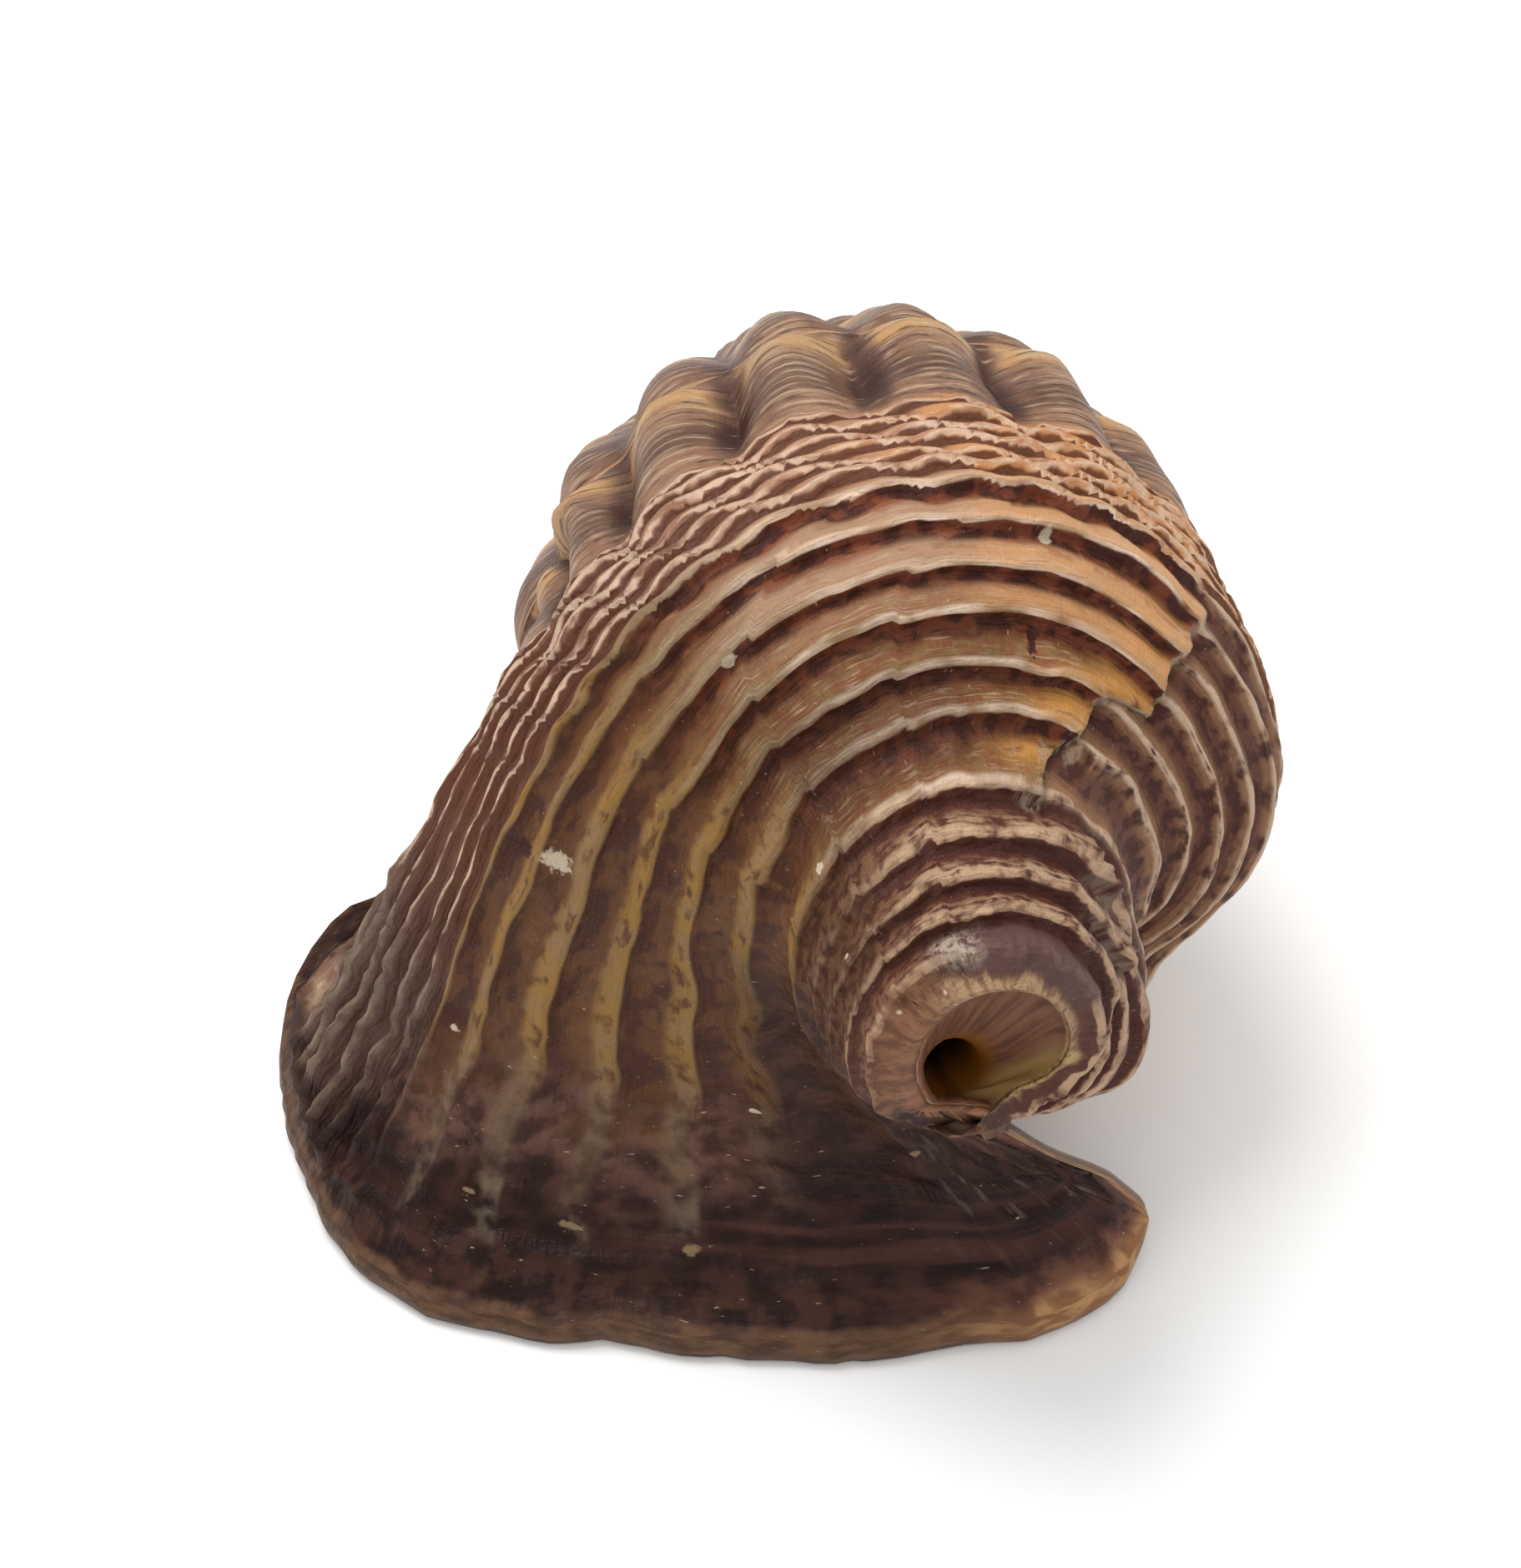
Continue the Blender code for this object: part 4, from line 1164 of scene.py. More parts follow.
broad = painted(broad, GOLD, window(scar_distance, 0.0, 1.0, 8.0, 27.0), soft(share, 0.15, 0.45),
                window(cord_number, 5.6, 6.4, 11.4, 11.9), soft(streaks, 0.30, 0.50), 0.8)
broad = painted(broad, TOP_TAN, soft(cord_number, 9.2, 7.8), soft(turn_angle, 142.0, 118.0),
                soft(share, 0.25, 0.6), 0.5)
broad = painted(broad, SHADE_BROWN, window(cord_number, 8.8, 9.6, 11.6, 12.0),
                soft(turn_angle, 62.0, 76.0), 0.25)
broad = painted(broad, SHADE_BROWN, to_left, 0.35)
broad = painted(broad, WARM_ORANGE, window(turn_angle, 28.0, 36.0, 70.0, 88.0),
                window(cord_number, 5.2, 5.8, 8.6, 9.4), soft(scar_distance, 0.0, 2.0),
                soft(share, 0.3, 0.6), 0.6)
broad = painted(broad, THREAD_PALE, soft(threads, 0.54, 0.66), soft(mottle, 0.40, 0.56),
                soft(share, 0.30, 0.55), soft(turn_angle, 150.0, 120.0), 0.4)
broad = painted(broad, SLOPE_RUST, soft(mottle_small, 0.50, 0.62), soft(cord_number, 9.4, 8.0),
                window(share, 0.15, 0.30, 0.60, 0.80), soft(turn_angle, 150.0, 130.0), 0.5)
broad = painted(broad, MAROON_DEEP, window(cord_number, 9.7, 10.2, 11.6, 12.0),
                window(turn_angle, 78.0, 88.0, 125.0, 140.0), 0.35)
print("broad cords use", len(tree.nodes), "nodes")

# %% [markdown]
# ## Behind the scar
#
# On the right, behind the mended break, the older shell is darker: wide brown bands with a thin pale line
# on each crest, which is partly a painted highlight. The measure from the scar switches one paint to the
# other along the ragged line.

# %% Right side behind the scar
BEHIND_DARK = (0.066, 0.022, 0.017)
BEHIND_BROWN = (0.125, 0.048, 0.031)
BEHIND_TAN = (0.300, 0.155, 0.080)
BEHIND_LINE_AND_HIGHLIGHT = (0.52, 0.37, 0.26)

behind = mottled(BEHIND_DARK, BEHIND_BROWN, 0.44, 0.58)
behind = painted(behind, BEHIND_TAN, soft(ruffle(share, streaks, 0.3), 0.62, 0.95), 0.8)
behind = painted(behind, BEHIND_TAN, soft(to_crest, 0.30, 0.12), soft(mottle_small, 0.34, 0.56), 0.8)
# Thin pale line on each crest, partly a painted highlight.
behind = painted(behind, BEHIND_LINE_AND_HIGHLIGHT, soft(to_crest, 0.13, 0.05),
                 soft(ruffle(streaks, mottle_small, 0.7), 0.66, 0.90))
broad = blend(soft(scar_distance, 1.0, -1.0), broad, behind)
print("with the right side,", len(tree.nodes), "nodes")

# %% [markdown]
# ## The left side
#
# Toward the lip the crests turn into broken yellow ribbons on a mottled brown ground, and grey where they
# near the margin. The change is spread over a ragged zone, because no growth line is a straight border.

# %% Left side
CORD_YELLOW = (0.29, 0.155, 0.038)
CORD_KHAKI = (0.26, 0.150, 0.062)
CORD_GREY = (0.155, 0.125, 0.075)
CORD_SHADE = (0.070, 0.045, 0.030)
GAP_BROWN = (0.115, 0.045, 0.017)
GAP_TAN = (0.150, 0.064, 0.026)
GAP_BLOT = (0.042, 0.013, 0.010)

blots = plus(times(blotches, 0.5), times(mottle_small, 0.5), times(share, -0.25))
gap = painted(mottled(GAP_BROWN, GAP_TAN, 0.40, 0.62), GAP_BLOT, soft(blots, 0.34, 0.48),
              soft(edge_distance, 4.0, 8.0), 0.8)
ridge = blend(soft(mottle, 0.4, 0.6), CORD_YELLOW, CORD_KHAKI)
ridge = painted(ridge, mottled(CORD_SHADE, CORD_GREY, 0.42, 0.60),
                soft(ruffle(edge_distance, blotches, 4.0), 11.0, 7.0))
ridge_above = times(soft(share, 0.60, 0.80), soft(edge_distance, 2.0, 7.0), soft(mottle_small, 0.32, 0.50))
ridge_below = times(soft(share, 0.10, 0.04), soft(edge_distance, 5.0, 9.0))
left_side = painted(gap, ridge, calc("MAXIMUM", ridge_above, ridge_below), 0.9)
broad = painted(broad, left_side, soft(ruffle(turn_angle, mottle, 40.0), 150.0, 178.0))
print("with the left side,", len(tree.nodes), "nodes")

# %% [markdown]
# ## The narrow wavy cords
#
# These six cords are the warmest part of the shell, orange on the right and pink on top. Their pale crests
# are partly a painted highlight, and the dark band under each crest is partly painted shadow. On the wing of
# the lip they turn into dark ribs with grey worn tops.

# %% Narrow wavy cords
WAVE_PINK = (0.42, 0.215, 0.130)
WAVE_ORANGE = (0.56, 0.255, 0.100)
WAVE_PALE_AND_HIGHLIGHT = (0.70, 0.50, 0.36)
WAVE_DARK_AND_SHADE = (0.110, 0.038, 0.020)
WAVE_MAROON = (0.205, 0.090, 0.058)
WING_DARK = (0.120, 0.068, 0.052)
WING_TOP = (0.23, 0.175, 0.12)

wave = blend(soft(plus(times(turn_angle, -0.008), mottle), -0.28, 0.05), WAVE_PINK, WAVE_ORANGE)
wave = painted(wave, WAVE_DARK_AND_SHADE, soft(mottle_small, 0.52, 0.70), 0.4)
wave = painted(wave, WAVE_MAROON, soft(ruffle(turn_angle, mottle, 50.0), 120.0, 165.0))
# Dark band under each ripple's crest, partly painted shadow.
wave = painted(wave, WAVE_DARK_AND_SHADE, soft(share, 0.03, 0.08), soft(share, 0.50, 0.14), 0.90)
# Pale crests of the ripples, partly a painted highlight.
wave_crest = calc("MAXIMUM", soft(share, 0.86, 0.97), soft(share, 0.06, 0.02))
wave = painted(wave, WAVE_PALE_AND_HIGHLIGHT, wave_crest, soft(plus(streaks, mottle_small), 0.80, 1.06), 0.85)
wave = painted(wave, WING_DARK, soft(turn_angle, 190.0, 228.0), 0.85)
wave = painted(wave, WING_TOP, soft(to_crest, 0.20, 0.08), soft(turn_angle, 200.0, 225.0),
               soft(ruffle(mottle_small, streaks, 0.4), 0.55, 0.80), 0.6)
print("with the wavy cords,", len(tree.nodes), "nodes")

# %% [markdown]
# ## The folds beside the seam
#
# The folds and all of the spire are mauve-brown, gold on the tops and dark in the valleys, with fine dark
# threads across. The gold and pale paint on the tops is partly a painted highlight, and the dark paint in
# the valleys is painted shade. The same cosine that raises the folds tells the paint where the tops are.

# %% Folds beside the seam
FOLD_BROWN = (0.265, 0.140, 0.084)
FOLD_MAUVE = (0.200, 0.104, 0.074)
FOLD_GOLD = (0.50, 0.285, 0.125)
FOLD_OLIVE = (0.38, 0.27, 0.17)
FOLD_TOP_HIGHLIGHT = (0.45, 0.30, 0.19)
FOLD_VALLEY_SHADE = (0.075, 0.036, 0.027)
FOLD_DARK = (0.058, 0.028, 0.022)
FOLD_THREAD = (0.56, 0.40, 0.27)

lobes = calc("COSINE", times(plus(turn_angle, -FOLD_PHASE), math.radians(FOLDS_PER_WHORL)))
thread = calc("ABSOLUTE", plus(calc("FRACT", plus(times(cord_number, 2.0), times(ragged, 2.4))), -0.5))
gold_rows = window(plus(cord_number, times(ragged, 2.0), times(blotches, 2.2)), -4.9, -4.2, -3.7, -2.9)
valley_shade_row = window(ruffle(cord_number, ragged, 2.0), -4.4, -3.2, -1.2, -0.2)
valley_shade_strength = plus(0.35, times(soft(turn_angle, -200.0, -150.0), 0.5))
fold = blend(soft(mottle, 0.40, 0.6), FOLD_MAUVE, FOLD_BROWN)
# Gold rows, strongest on the upper half of each fold: partly pigment, partly a painted highlight.
fold = painted(fold, FOLD_GOLD, gold_rows, soft(ruffle(lobes, mottle, 1.4), -0.5, 0.5), 0.95)
fold = painted(fold, FOLD_OLIVE, soft(ruffle(mottle_small, streaks, 0.6), 0.80, 0.98), 0.6)
# Painted highlight: pale paint on the tops of the folds, broken by streaks.
fold = painted(fold, FOLD_TOP_HIGHLIGHT, soft(lobes, 0.2, 0.9), soft(streaks, 0.40, 0.60), 0.5)
# Painted shade in the valleys between the folds.
fold = painted(fold, FOLD_VALLEY_SHADE, soft(ruffle(lobes, mottle, 1.2), 0.2, -0.6), 0.85)
fold = painted(fold, FOLD_DARK, window(ruffle(cord_number, ragged, 3.0), -3.6, -2.9, -1.9, -1.2), 0.45)
# More painted shade in the fold valleys, in a row under the gold, stronger on the last whorl.
fold = painted(fold, FOLD_DARK, valley_shade_row, soft(lobes, -0.2, -0.9), valley_shade_strength)
fold = painted(fold, FOLD_DARK, soft(ruffle(thread, ragged, 0.2), 0.33, 0.48),
               soft(mottle_small, 0.40, 0.58), 0.80)
fold = painted(fold, FOLD_THREAD, soft(thread, 0.14, 0.02),
               soft(ruffle(mottle_small, lobes, 0.08), 0.46, 0.62), 0.6)

paint = painted(fold, wave, soft(cord_number, -0.5, 0.1))
paint = painted(paint, broad, soft(ruffle(cord_number, ragged, 2.0), 5.2, 5.9))
print("with the folds,", len(tree.nodes), "nodes")

# %% [markdown]
# ## The neck
#
# Rings of maroon and pale brown run round the neck. Their pale crests are partly a painted highlight, and
# the dark band under each crest is partly painted shadow. Handling has worn it: a grey patch and a white
# scratch on top, a peach collar round the siphonal hole, and dull ground on the left. The underside is
# darker, partly its own colour and partly painted shade.

# %% Neck: rings
NECK_PALE_AND_HIGHLIGHT = (0.52, 0.335, 0.205)
NECK_MAROON = (0.085, 0.027, 0.019)
NECK_BROWN = (0.215, 0.102, 0.056)
NECK_WORN = (0.52, 0.355, 0.225)
NECK_VALLEY_SHADE = (0.070, 0.022, 0.016)

ring_crest = calc("MAXIMUM", soft(share, 0.74, 0.93), soft(share, 0.07, 0.03))
neck = blend(soft(streaky_clouds, 0.60, 0.85), NECK_MAROON, NECK_BROWN)
# Pale ring crests, partly a painted highlight.
neck = painted(neck, NECK_PALE_AND_HIGHLIGHT, ring_crest, soft(cloudy_blots, 0.58, 0.84), 0.9)
# Dark band under each ring crest, partly painted shadow.
neck = painted(neck, NECK_MAROON, band_and_shadow_under_crest, 0.85)
print("rings use", len(tree.nodes), "nodes")

# %% Neck: collar, wear and shade
COLLAR_BROWN = (0.155, 0.066, 0.036)
COLLAR_PEACH = (0.270, 0.125, 0.065)
RIM_TAN = (0.42, 0.27, 0.15)
RIM_GOLD = (0.46, 0.32, 0.13)
NECK_LEFT_DARK = (0.060, 0.023, 0.013)
NECK_LEFT_BROWN = (0.125, 0.058, 0.030)
NECK_GREY = (0.110, 0.060, 0.054)
NECK_WHITE = (0.50, 0.41, 0.32)
NECK_UNDER_SHADE = (0.070, 0.036, 0.025)
CREVICE_TAN = (0.34, 0.255, 0.185)

collar = blend(soft(plus(mottle_small, mottle), 0.80, 1.12), COLLAR_BROWN, COLLAR_PEACH)
neck = painted(neck, collar, soft(ruffle(cord_number, ragged, 1.5), 15.7, 16.2),
               soft(turn_angle, 95.0, 135.0), 0.9)
rim_paint = blend(soft(turn_angle, 8.0, -12.0), RIM_TAN, RIM_GOLD)
rim_strength = plus(0.35, times(soft(mottle_small, 0.36, 0.56), 0.55))
neck = painted(neck, rim_paint, soft(ruffle(cord_number, ragged, 0.9), 16.2, 16.5),
               soft(turn_angle, 140.0, 100.0), rim_strength)
neck = painted(neck, NECK_WORN, window(ruffle(turn_angle, mottle, 20.0), 10.0, 30.0, 118.0, 132.0),
               window(cord_number, 12.2, 12.8, 14.6, 15.2),
               soft(ruffle(streaks, mottle_small, 0.5), 0.66, 0.86), soft(share, 0.34, 0.74), 0.6)
# Painted shade in the valley under each ring crest, on the left.
neck = painted(neck, NECK_VALLEY_SHADE, soft(share, 0.03, 0.06), soft(ruffle(share, blotches, 0.2), 0.50, 0.26),
               soft(turn_angle, 150.0, 125.0), soft(cord_number, 15.9, 15.6), 0.85)
neck = painted(neck, mottled(NECK_LEFT_DARK, NECK_LEFT_BROWN, 0.4, 0.6),
               soft(ruffle(turn_angle, mottle, 30.0), 118.0, 160.0), soft(cord_number, 15.4, 14.6), 0.8)
neck = painted(neck, NECK_GREY, window(turn_angle, 5.0, 35.0, 90.0, 125.0),
               window(ragged_cord, 15.1, 15.4, 16.2, 16.45), 0.9)
neck = painted(neck, NECK_WHITE, window(ruffle(turn_angle, ragged, 40.0), 88.0, 97.0, 106.0, 118.0),
               window(ruffle(cord_number, ragged, 1.2), 15.1, 15.5, 15.9, 16.3),
               soft(ruffle(mottle_small, grain, 0.5), 0.58, 0.86), 0.8)
# Darker underside of the neck, partly painted shade.
neck = painted(neck, NECK_UNDER_SHADE, soft(turn_angle, -55.0, -85.0), 0.8)
paint = painted(paint, neck, soft(cord_number, 11.8, 12.2))
paint = painted(paint, CREVICE_TAN, window(turn_angle, 2.0, 8.0, 34.0, 44.0),
                window(cord_number, 12.1, 12.6, 14.0, 14.8), soft(mottle_small, 0.40, 0.60), 0.45)
print("with the neck,", len(tree.nodes), "nodes")

# %% [markdown]
# ## The dark lip
#
# The last shell that the animal made is dark. It is painted almost black, partly its own colour and partly
# painted shade on a lip that faces down and forward. Growth pauses run through it beside the margin, the
# ribs are worn grey where they leave the body, and pale scratches fan out below the neck. Under the neck,
# where the lip meets the body, the dark paint is partly painted shade.

# %% Dark lower lip
LIP_DARK_AND_SHADE = (0.010, 0.003, 0.003)
LIP_BROWN = (0.034, 0.012, 0.009)
LIP_GREY = (0.110, 0.075, 0.060)
LIP_RIB_GREY = (0.150, 0.120, 0.080)
LIP_RIB_TAN = (0.170, 0.110, 0.062)
LIP_UPPER_DARK = (0.045, 0.020, 0.015)
LIP_UPPER_BROWN = (0.160, 0.080, 0.058)
LIP_PAUSE = (0.085, 0.034, 0.024)
UNDER_NECK_SHADE_DARK = (0.022, 0.008, 0.006)
UNDER_NECK_SHADE_BROWN = (0.060, 0.025, 0.015)

# Near-black lip: its own dark colour with painted shade.
lip = blend(soft(ruffle(mottle_small, blotches, 0.6), 0.62, 1.10), LIP_DARK_AND_SHADE, LIP_BROWN)
lip = painted(lip, mottled(LIP_UPPER_DARK, LIP_UPPER_BROWN, 0.36, 0.64),
              soft(ruffle(edge_distance, mottle, 3.0), 4.0, 7.0), soft(cord_number, 11.2, 10.0), 0.85)
lip = painted(lip, LIP_GREY, soft(patches(0.10, 5.0, 3.0, 14.0), 0.56, 0.66),
              soft(cord_number, 11.3, 12.6), soft(edge_distance, 1.0, 2.5), 0.8)
lip = painted(lip, LIP_RIB_GREY, soft(share, 0.55, 0.80), soft(share, 1.0, 0.92),
              soft(cloudy_blots, 0.72, 0.92), soft(cord_number, 11.0, 10.0), 0.6)
lip = painted(lip, LIP_RIB_TAN, soft(share, 0.52, 0.72), soft(share, 1.0, 0.90),
              soft(ruffle(edge_distance, mottle_small, 3.0), 4.2, 6.5), soft(cord_number, 11.0, 10.2), 0.5)
pauses = cloud(times(edge_distance, 1.5), times(cord_number, 0.35), 0.0, 2.0)
lip = painted(lip, LIP_PAUSE, soft(pauses, 0.44, 0.62), soft(cord_number, 8.5, 10.5),
              soft(edge_distance, 5.5, 3.0), 0.6)
# Under the neck, dark paint that is partly painted shade in the hollow between the neck and the lip.
paint = painted(paint, mottled(UNDER_NECK_SHADE_DARK, UNDER_NECK_SHADE_BROWN, 0.4, 0.6), soft(turn_angle, 165.0, 200.0),
                window(ragged_cord, 10.3, 11.2, 13.4, 14.6), 0.85)
paint = painted(paint, lip, soft(ruffle(edge_distance, mottle, 8.0), 13.5, 8.0),
                soft(turn_angle, 190.0, 222.0), soft(ruffle(cord_number, edge_distance, -0.35), 1.5, 3.5), 0.95)
print("with the lip,", len(tree.nodes), "nodes")

# %% [markdown]
# ## The margin of the lip
#
# The very edge is a fine dark line with a brown rim on the left. On the rounded lobe beside the neck it
# turns amber, because the wall there is thin and fresh. Each step is softened by a noise, so the rim
# looks grown and not piped on.

# %% Margin of the lip
RIM_BAND_DARK = (0.016, 0.006, 0.005)
RIM_BAND_BROWN = (0.055, 0.022, 0.014)
MARGIN_DARK = (0.066, 0.033, 0.021)
MARGIN_BROWN = (0.132, 0.068, 0.036)
LOBE_DARK = (0.100, 0.036, 0.026)
LOBE_RED = (0.200, 0.085, 0.052)
LOBE_AMBER = (0.300, 0.135, 0.062)
LOBE_GOLD = (0.52, 0.290, 0.125)
LOBE_UNDER = (0.190, 0.080, 0.038)

paint = painted(paint, mottled(RIM_BAND_DARK, RIM_BAND_BROWN, 0.40, 0.60),
                soft(ruffle(edge_distance, mottle, 1.5), 3.0, 1.9), 0.75)
paint = painted(paint, mottled(MARGIN_DARK, MARGIN_BROWN, 0.36, 0.64),
                soft(ruffle(edge_distance, blotches, 0.9), 0.85, 0.55), soft(ragged_cord, 12.2, 11.2))
on_lobe = soft(ragged_cord, 11.2, 12.4)
paint = painted(paint, mottled(LOBE_DARK, LOBE_RED, 0.38, 0.60),
                soft(ruffle(edge_distance, blotches, 1.2), 2.3, 1.1), on_lobe, 0.85)
amber = painted(mottled(LOBE_AMBER, LOBE_GOLD, 0.40, 0.60), LOBE_UNDER, soft(lining_depth, 0.02, 0.45))
paint = painted(paint, amber, soft(ruffle(edge_distance, blotches, 0.8), 1.15, 0.35), on_lobe, 0.9)
print("with the margin,", len(tree.nodes), "nodes")

# %% [markdown]
# ## Chips, flecks and dirt
#
# Damage isn't spread evenly. The few marks that catch the eye are written down one by one, by turn and
# cord, and a fine noise adds the rest. A mark's outline is ruffled with the grain, so none is an oval.

# %% Spots at written places
def spots(places):
    """Ragged spots: turn angle, cord number, half width in degrees, half height in cords."""
    all_spots = None
    for angle, cord, wide, tall in places:
        aside = times(plus(turn_angle, -angle), 1.0 / wide)
        above = times(plus(cord_number, -cord), 1.0 / tall)
        near = calc("SQRT", plus(times(aside, aside), times(above, above)))
        here = soft(ruffle(near, grain, 1.6), 1.8, 1.4)
        all_spots = here if all_spots is None else calc("MAXIMUM", all_spots, here)
    return all_spots


CHIPS = [
    (176.5, 7.36, 2.4, 0.36), (221.0, 6.42, 0.6, 0.14), (140.0, 11.88, 2.0, 0.08), (126.5, 8.1, 1.6, 0.12),
    (67.0, 7.2, 1.6, 0.18), (226.0, 10.69, 0.5, 0.08), (205.0, 12.2, 1.2, 0.08), (141.5, 16.2, 1.2, 0.06),
    (116.0, 16.5, 1.4, 0.05), (146.5, 13.71, 1.4, 0.07),
]
LIP_CHIPS = [
    (253.5, 8.76, 0.9, 0.16), (256.0, 9.9, 1.2, 0.10), (250.0, 7.6, 0.6, 0.10), (234.0, 12.0, 0.9, 0.08),
]
PITS = [(178.5, 6.5, 1.9, 0.34), (67.5, 9.5, 1.3, 0.3)]
SCUFFS = [(63.0, 12.1, 7.0, 0.30), (58.0, 11.6, 4.0, 0.4), (47.0, 11.2, 3.0, 0.3)]
print(len(CHIPS) + len(LIP_CHIPS), "chips,", len(PITS), "pits and", len(SCUFFS), "scuffs")

# %% Chips, flecks and dirt
CHIP = (0.56, 0.46, 0.33)
LIP_CHIP = (0.235, 0.165, 0.080)
SCAR_CHIP = (0.36, 0.275, 0.185)
SCAR_DIRT = (0.060, 0.030, 0.020)
SCUFF = (0.30, 0.235, 0.165)

on_scar = window(cord_number, 6.8, 7.4, 11.9, 12.3)
scar_dirt = soft(calc("ABSOLUTE", plus(scar_distance, times(mottle_small, 3.0), -0.3)), 1.6, 0.5)
scar_chips = soft(calc("ABSOLUTE", plus(scar_distance, times(grain, 2.0), -1.2)), 1.7, 0.6)
flecks = times(soft(patches(1.3, 6.0, 3.0, 9.0), 0.69, 0.74), soft(cord_number, 6.0, 7.0))
paint = painted(paint, SCUFF, spots(SCUFFS), soft(ruffle(mottle_small, grain, 0.6), 0.70, 0.90), 0.7)
paint = painted(paint, SCAR_DIRT, scar_dirt, on_scar, 0.30)
paint = painted(paint, SCAR_CHIP, scar_chips, on_scar, soft(mottle_small, 0.38, 0.48), 0.85)
paint = painted(paint, CHIP, calc("MAXIMUM", spots(CHIPS), times(flecks, 0.6)), 0.9)
paint = painted(paint, LIP_CHIP, spots(LIP_CHIPS), 0.8)
paint = painted(paint, MAROON_DEEP, spots(PITS))
print("with chips and dirt,", len(tree.nodes), "nodes")

# %% [markdown]
# ## Inside the mouth and the siphonal hole
#
# The lining of the mouth is smooth, cream and brown. The siphonal hole starts as a brown recess, darkened in
# part as painted shade, with an olive-gold lower side. Deeper in, an orange glow is painted where the wall
# is thin, and the end is painted near black as painted shade.

# %% Inside of the mouth and of the siphonal hole
MOUTH_CREAM = (0.36, 0.24, 0.16)
MOUTH_BROWN = (0.16, 0.085, 0.05)
HOLE_RECESS_SHADE = (0.185, 0.080, 0.048)
HOLE_SHADE = (0.105, 0.042, 0.026)
HOLE_GOLD = (0.36, 0.225, 0.080)
HOLE_ORANGE_GLOW = (0.300, 0.115, 0.016)
HOLE_DEEP_SHADE = (0.035, 0.009, 0.003)

mouth_paint = blend(soft(mottle, 0.4, 0.6), MOUTH_CREAM, MOUTH_BROWN)
paint = painted(paint, mouth_paint, window(lining_depth, 0.7, 0.98, 1.05, 1.2))
# Brown recess, partly painted shade.
recess = blend(soft(ruffle(mottle, mottle_small, 0.35), 0.58, 0.86), HOLE_RECESS_SHADE, HOLE_SHADE)
recess = painted(recess, HOLE_GOLD, soft(turn_angle, -100.0, -75.0), soft(turn_angle, 10.0, -20.0))
paint = painted(paint, recess, soft(lining_depth, 1.4, 2.4))
# Painted glow of light through the thin wall.
paint = painted(paint, HOLE_ORANGE_GLOW, soft(lining_depth, 3.75, 4.5))
# Painted shade at the blind end of the hole.
paint = painted(paint, HOLE_DEEP_SHADE, soft(lining_depth, 5.0, 7.0))
tree.links.new(paint, surface.inputs["Base Color"])
print("the whole paint uses", len(tree.nodes), "nodes")

# %% [markdown]
# ## Sheen and fine relief
#
# A dry shell has a low, waxy sheen. Growth lines and threads too fine for the mesh are left to a bump,
# a tenth of a millimetre high, which fades out on the smooth lining.

# %% Sheen and fine relief
SHELL_ROUGHNESS = 0.42
SHELL_SPECULAR = 0.13
BUMP_STRENGTH = 0.6
BUMP_HEIGHT = 0.12 * MM

bumps = tree.nodes.new("ShaderNodeBump")
bumps.inputs["Strength"].default_value = BUMP_STRENGTH
bumps.inputs["Distance"].default_value = BUMP_HEIGHT
fine = plus(times(fine_lines, 0.3), times(mottle_small, 0.9), times(threads, 0.9), times(grain, 0.7))
tree.links.new(times(fine, soft(lining_depth, 1.0, 0.4)), bumps.inputs["Height"])
tree.links.new(bumps.outputs["Normal"], surface.inputs["Normal"])
surface.inputs["Roughness"].default_value = SHELL_ROUGHNESS
surface.inputs["Specular IOR Level"].default_value = SHELL_SPECULAR
shell.data.materials.clear()
shell.data.materials.append(skin)
print("roughness", SHELL_ROUGHNESS, "and", len(tree.nodes), "nodes in all")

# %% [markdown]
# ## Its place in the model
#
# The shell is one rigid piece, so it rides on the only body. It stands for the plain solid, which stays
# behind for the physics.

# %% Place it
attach(shell, "root")
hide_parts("shell")
print("shell rides on the root body")

# %% [markdown]
# ## Floor and light
#
# A sheet of white paper, a bright dome of sky and one broad lamp behind and above give soft light from all
# round, with a faint shadow in front. The dome is weaker near the horizon, which keeps the sides of the
# shell from looking flat. What the camera sees beyond the paper is plain white.

# %% Floor
PAPER_SIZE = 2.0
PAPER_WHITE = (0.97, 0.97, 0.96, 1.0)

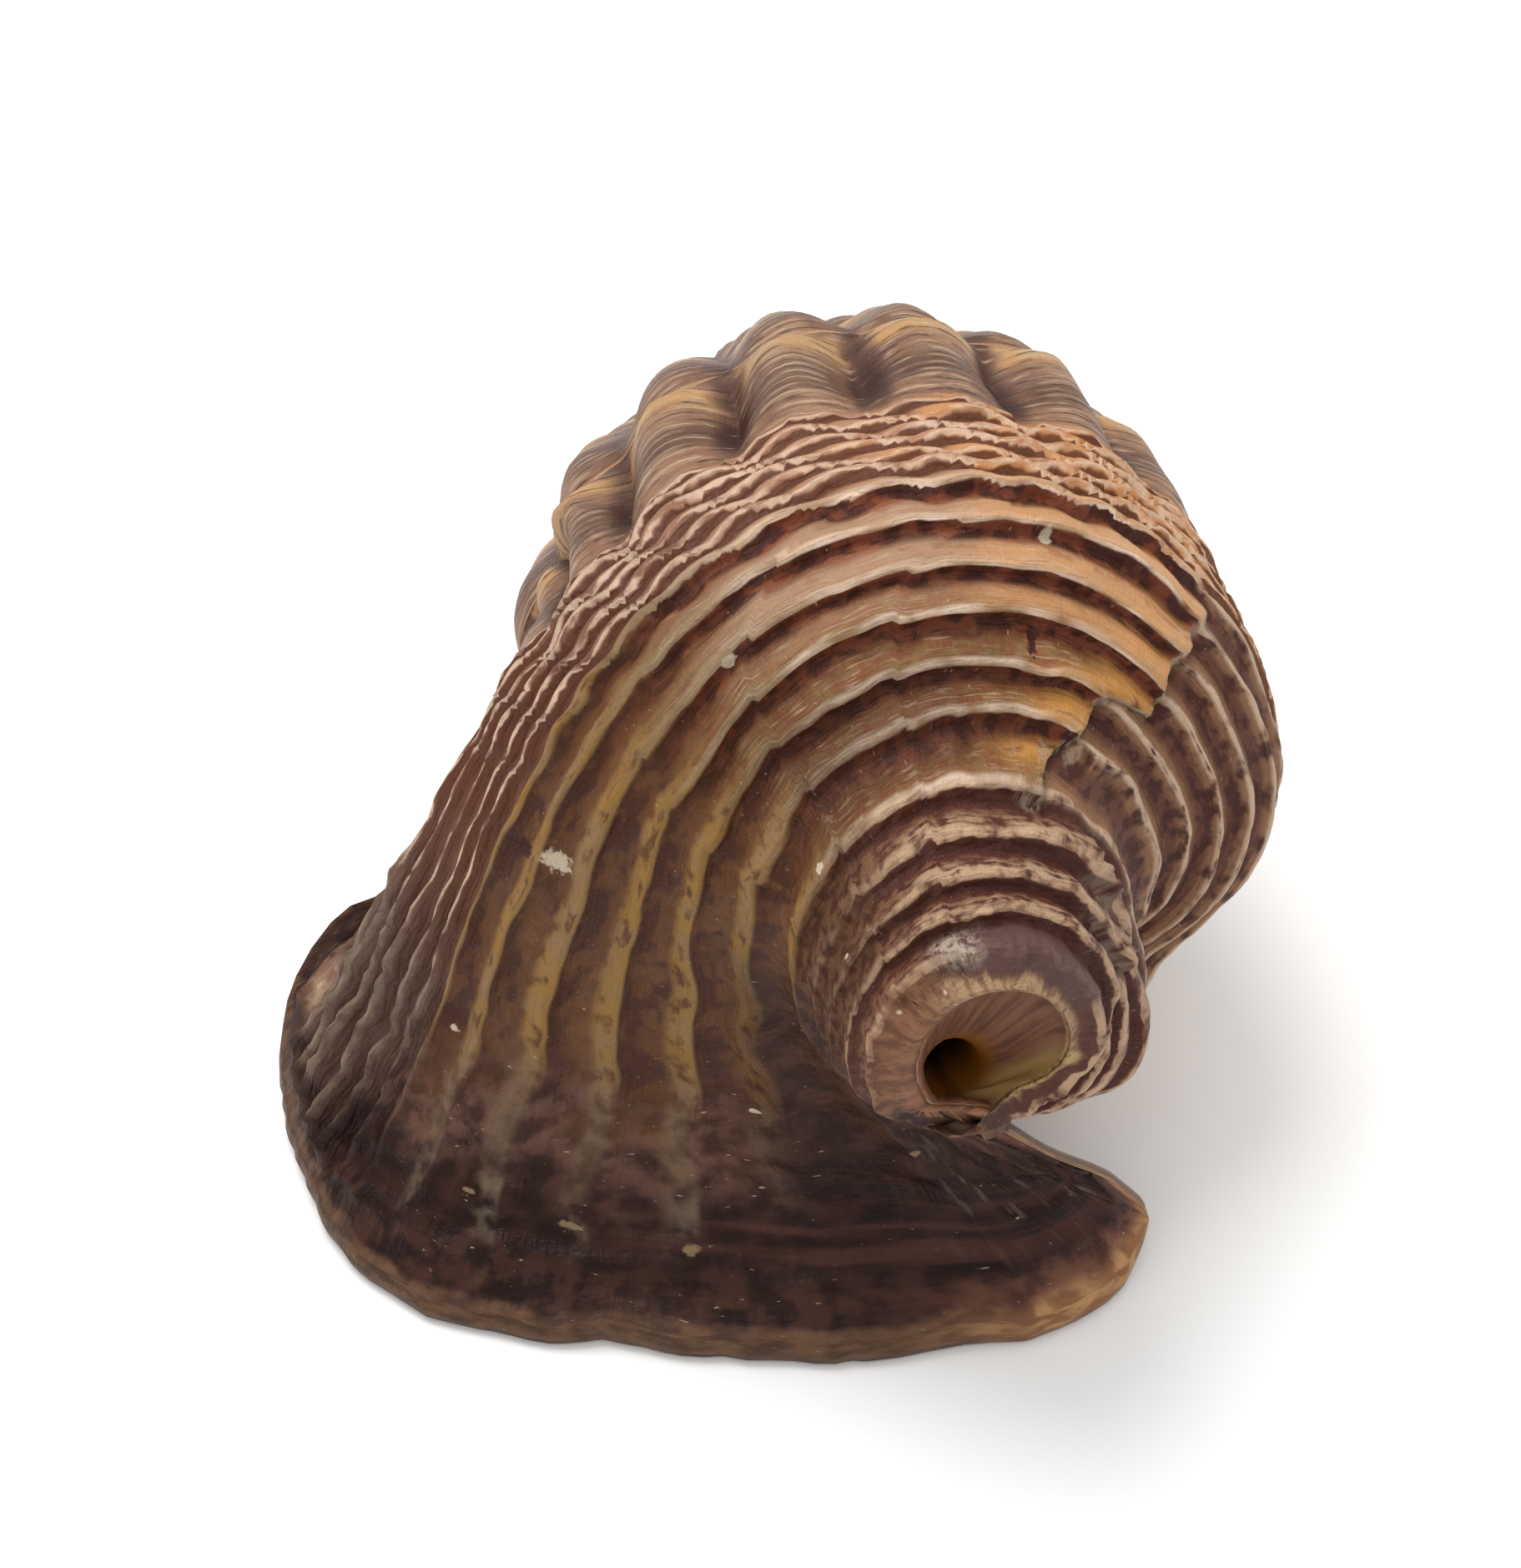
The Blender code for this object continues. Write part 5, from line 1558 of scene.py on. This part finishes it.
bpy.ops.object.select_all(action="DESELECT")
bpy.ops.mesh.primitive_plane_add(size=PAPER_SIZE, location=(0.0, 0.0, 0.0))
floor = bpy.context.object
floor.name = "floor"
paper = bpy.data.materials.new("paper")
paper.use_nodes = True
paper_shader = paper.node_tree.nodes["Principled BSDF"]
paper_shader.inputs["Base Color"].default_value = PAPER_WHITE
paper_shader.inputs["Roughness"].default_value = 0.8
floor.data.materials.append(paper)
print("floor is", PAPER_SIZE, "m wide")

# %% Sky
HORIZON_STRENGTH = 0.30
ZENITH_STRENGTH = 1.15
ZENITH_HEIGHT = 0.85

world = bpy.data.worlds.new("world")
bpy.context.scene.world = world
world.use_nodes = True
sky = world.node_tree
backdrop = sky.nodes["Background"]
backdrop.inputs["Color"].default_value = (1.0, 1.0, 1.0, 1.0)
direction = sky.nodes.new("ShaderNodeTexCoord")
height_split = sky.nodes.new("ShaderNodeSeparateXYZ")
sky.links.new(direction.outputs["Generated"], height_split.inputs[0])
dome = sky.nodes.new("ShaderNodeMapRange")
dome.interpolation_type = "SMOOTHSTEP"
dome.inputs["From Min"].default_value = 0.0
dome.inputs["From Max"].default_value = ZENITH_HEIGHT
dome.inputs["To Min"].default_value = HORIZON_STRENGTH
dome.inputs["To Max"].default_value = ZENITH_STRENGTH
sky.links.new(height_split.outputs["Z"], dome.inputs["Value"])
seen = sky.nodes.new("ShaderNodeLightPath")
pick = sky.nodes.new("ShaderNodeMix")
sky.links.new(seen.outputs["Is Camera Ray"], pick.inputs["Factor"])
sky.links.new(dome.outputs["Result"], pick.inputs["A"])
pick.inputs["B"].default_value = 1.0
sky.links.new(pick.outputs["Result"], backdrop.inputs["Strength"])
print("sky runs from", HORIZON_STRENGTH, "to", ZENITH_STRENGTH)

# %% Lamp
def add_soft_lamp(name, place, aim, size, power):
    data = bpy.data.lights.new(name, "AREA")
    data.shape = "DISK"
    data.size = size
    data.energy = power
    lamp = bpy.data.objects.new(name, data)
    bpy.context.scene.collection.objects.link(lamp)
    lamp.location = place
    lamp.rotation_euler = (Vector(place) - Vector(aim)).to_track_quat("Z", "Y").to_euler()
    return lamp


lamp = add_soft_lamp("window", (-0.10, 0.12, 0.45), (0.0, 0.0, 0.01), 0.25, 1.1)
bpy.context.scene.view_settings.view_transform = "Standard"
print("lamp of", round(lamp.data.energy, 2), "W at", [round(c, 2) for c in lamp.location], "m")
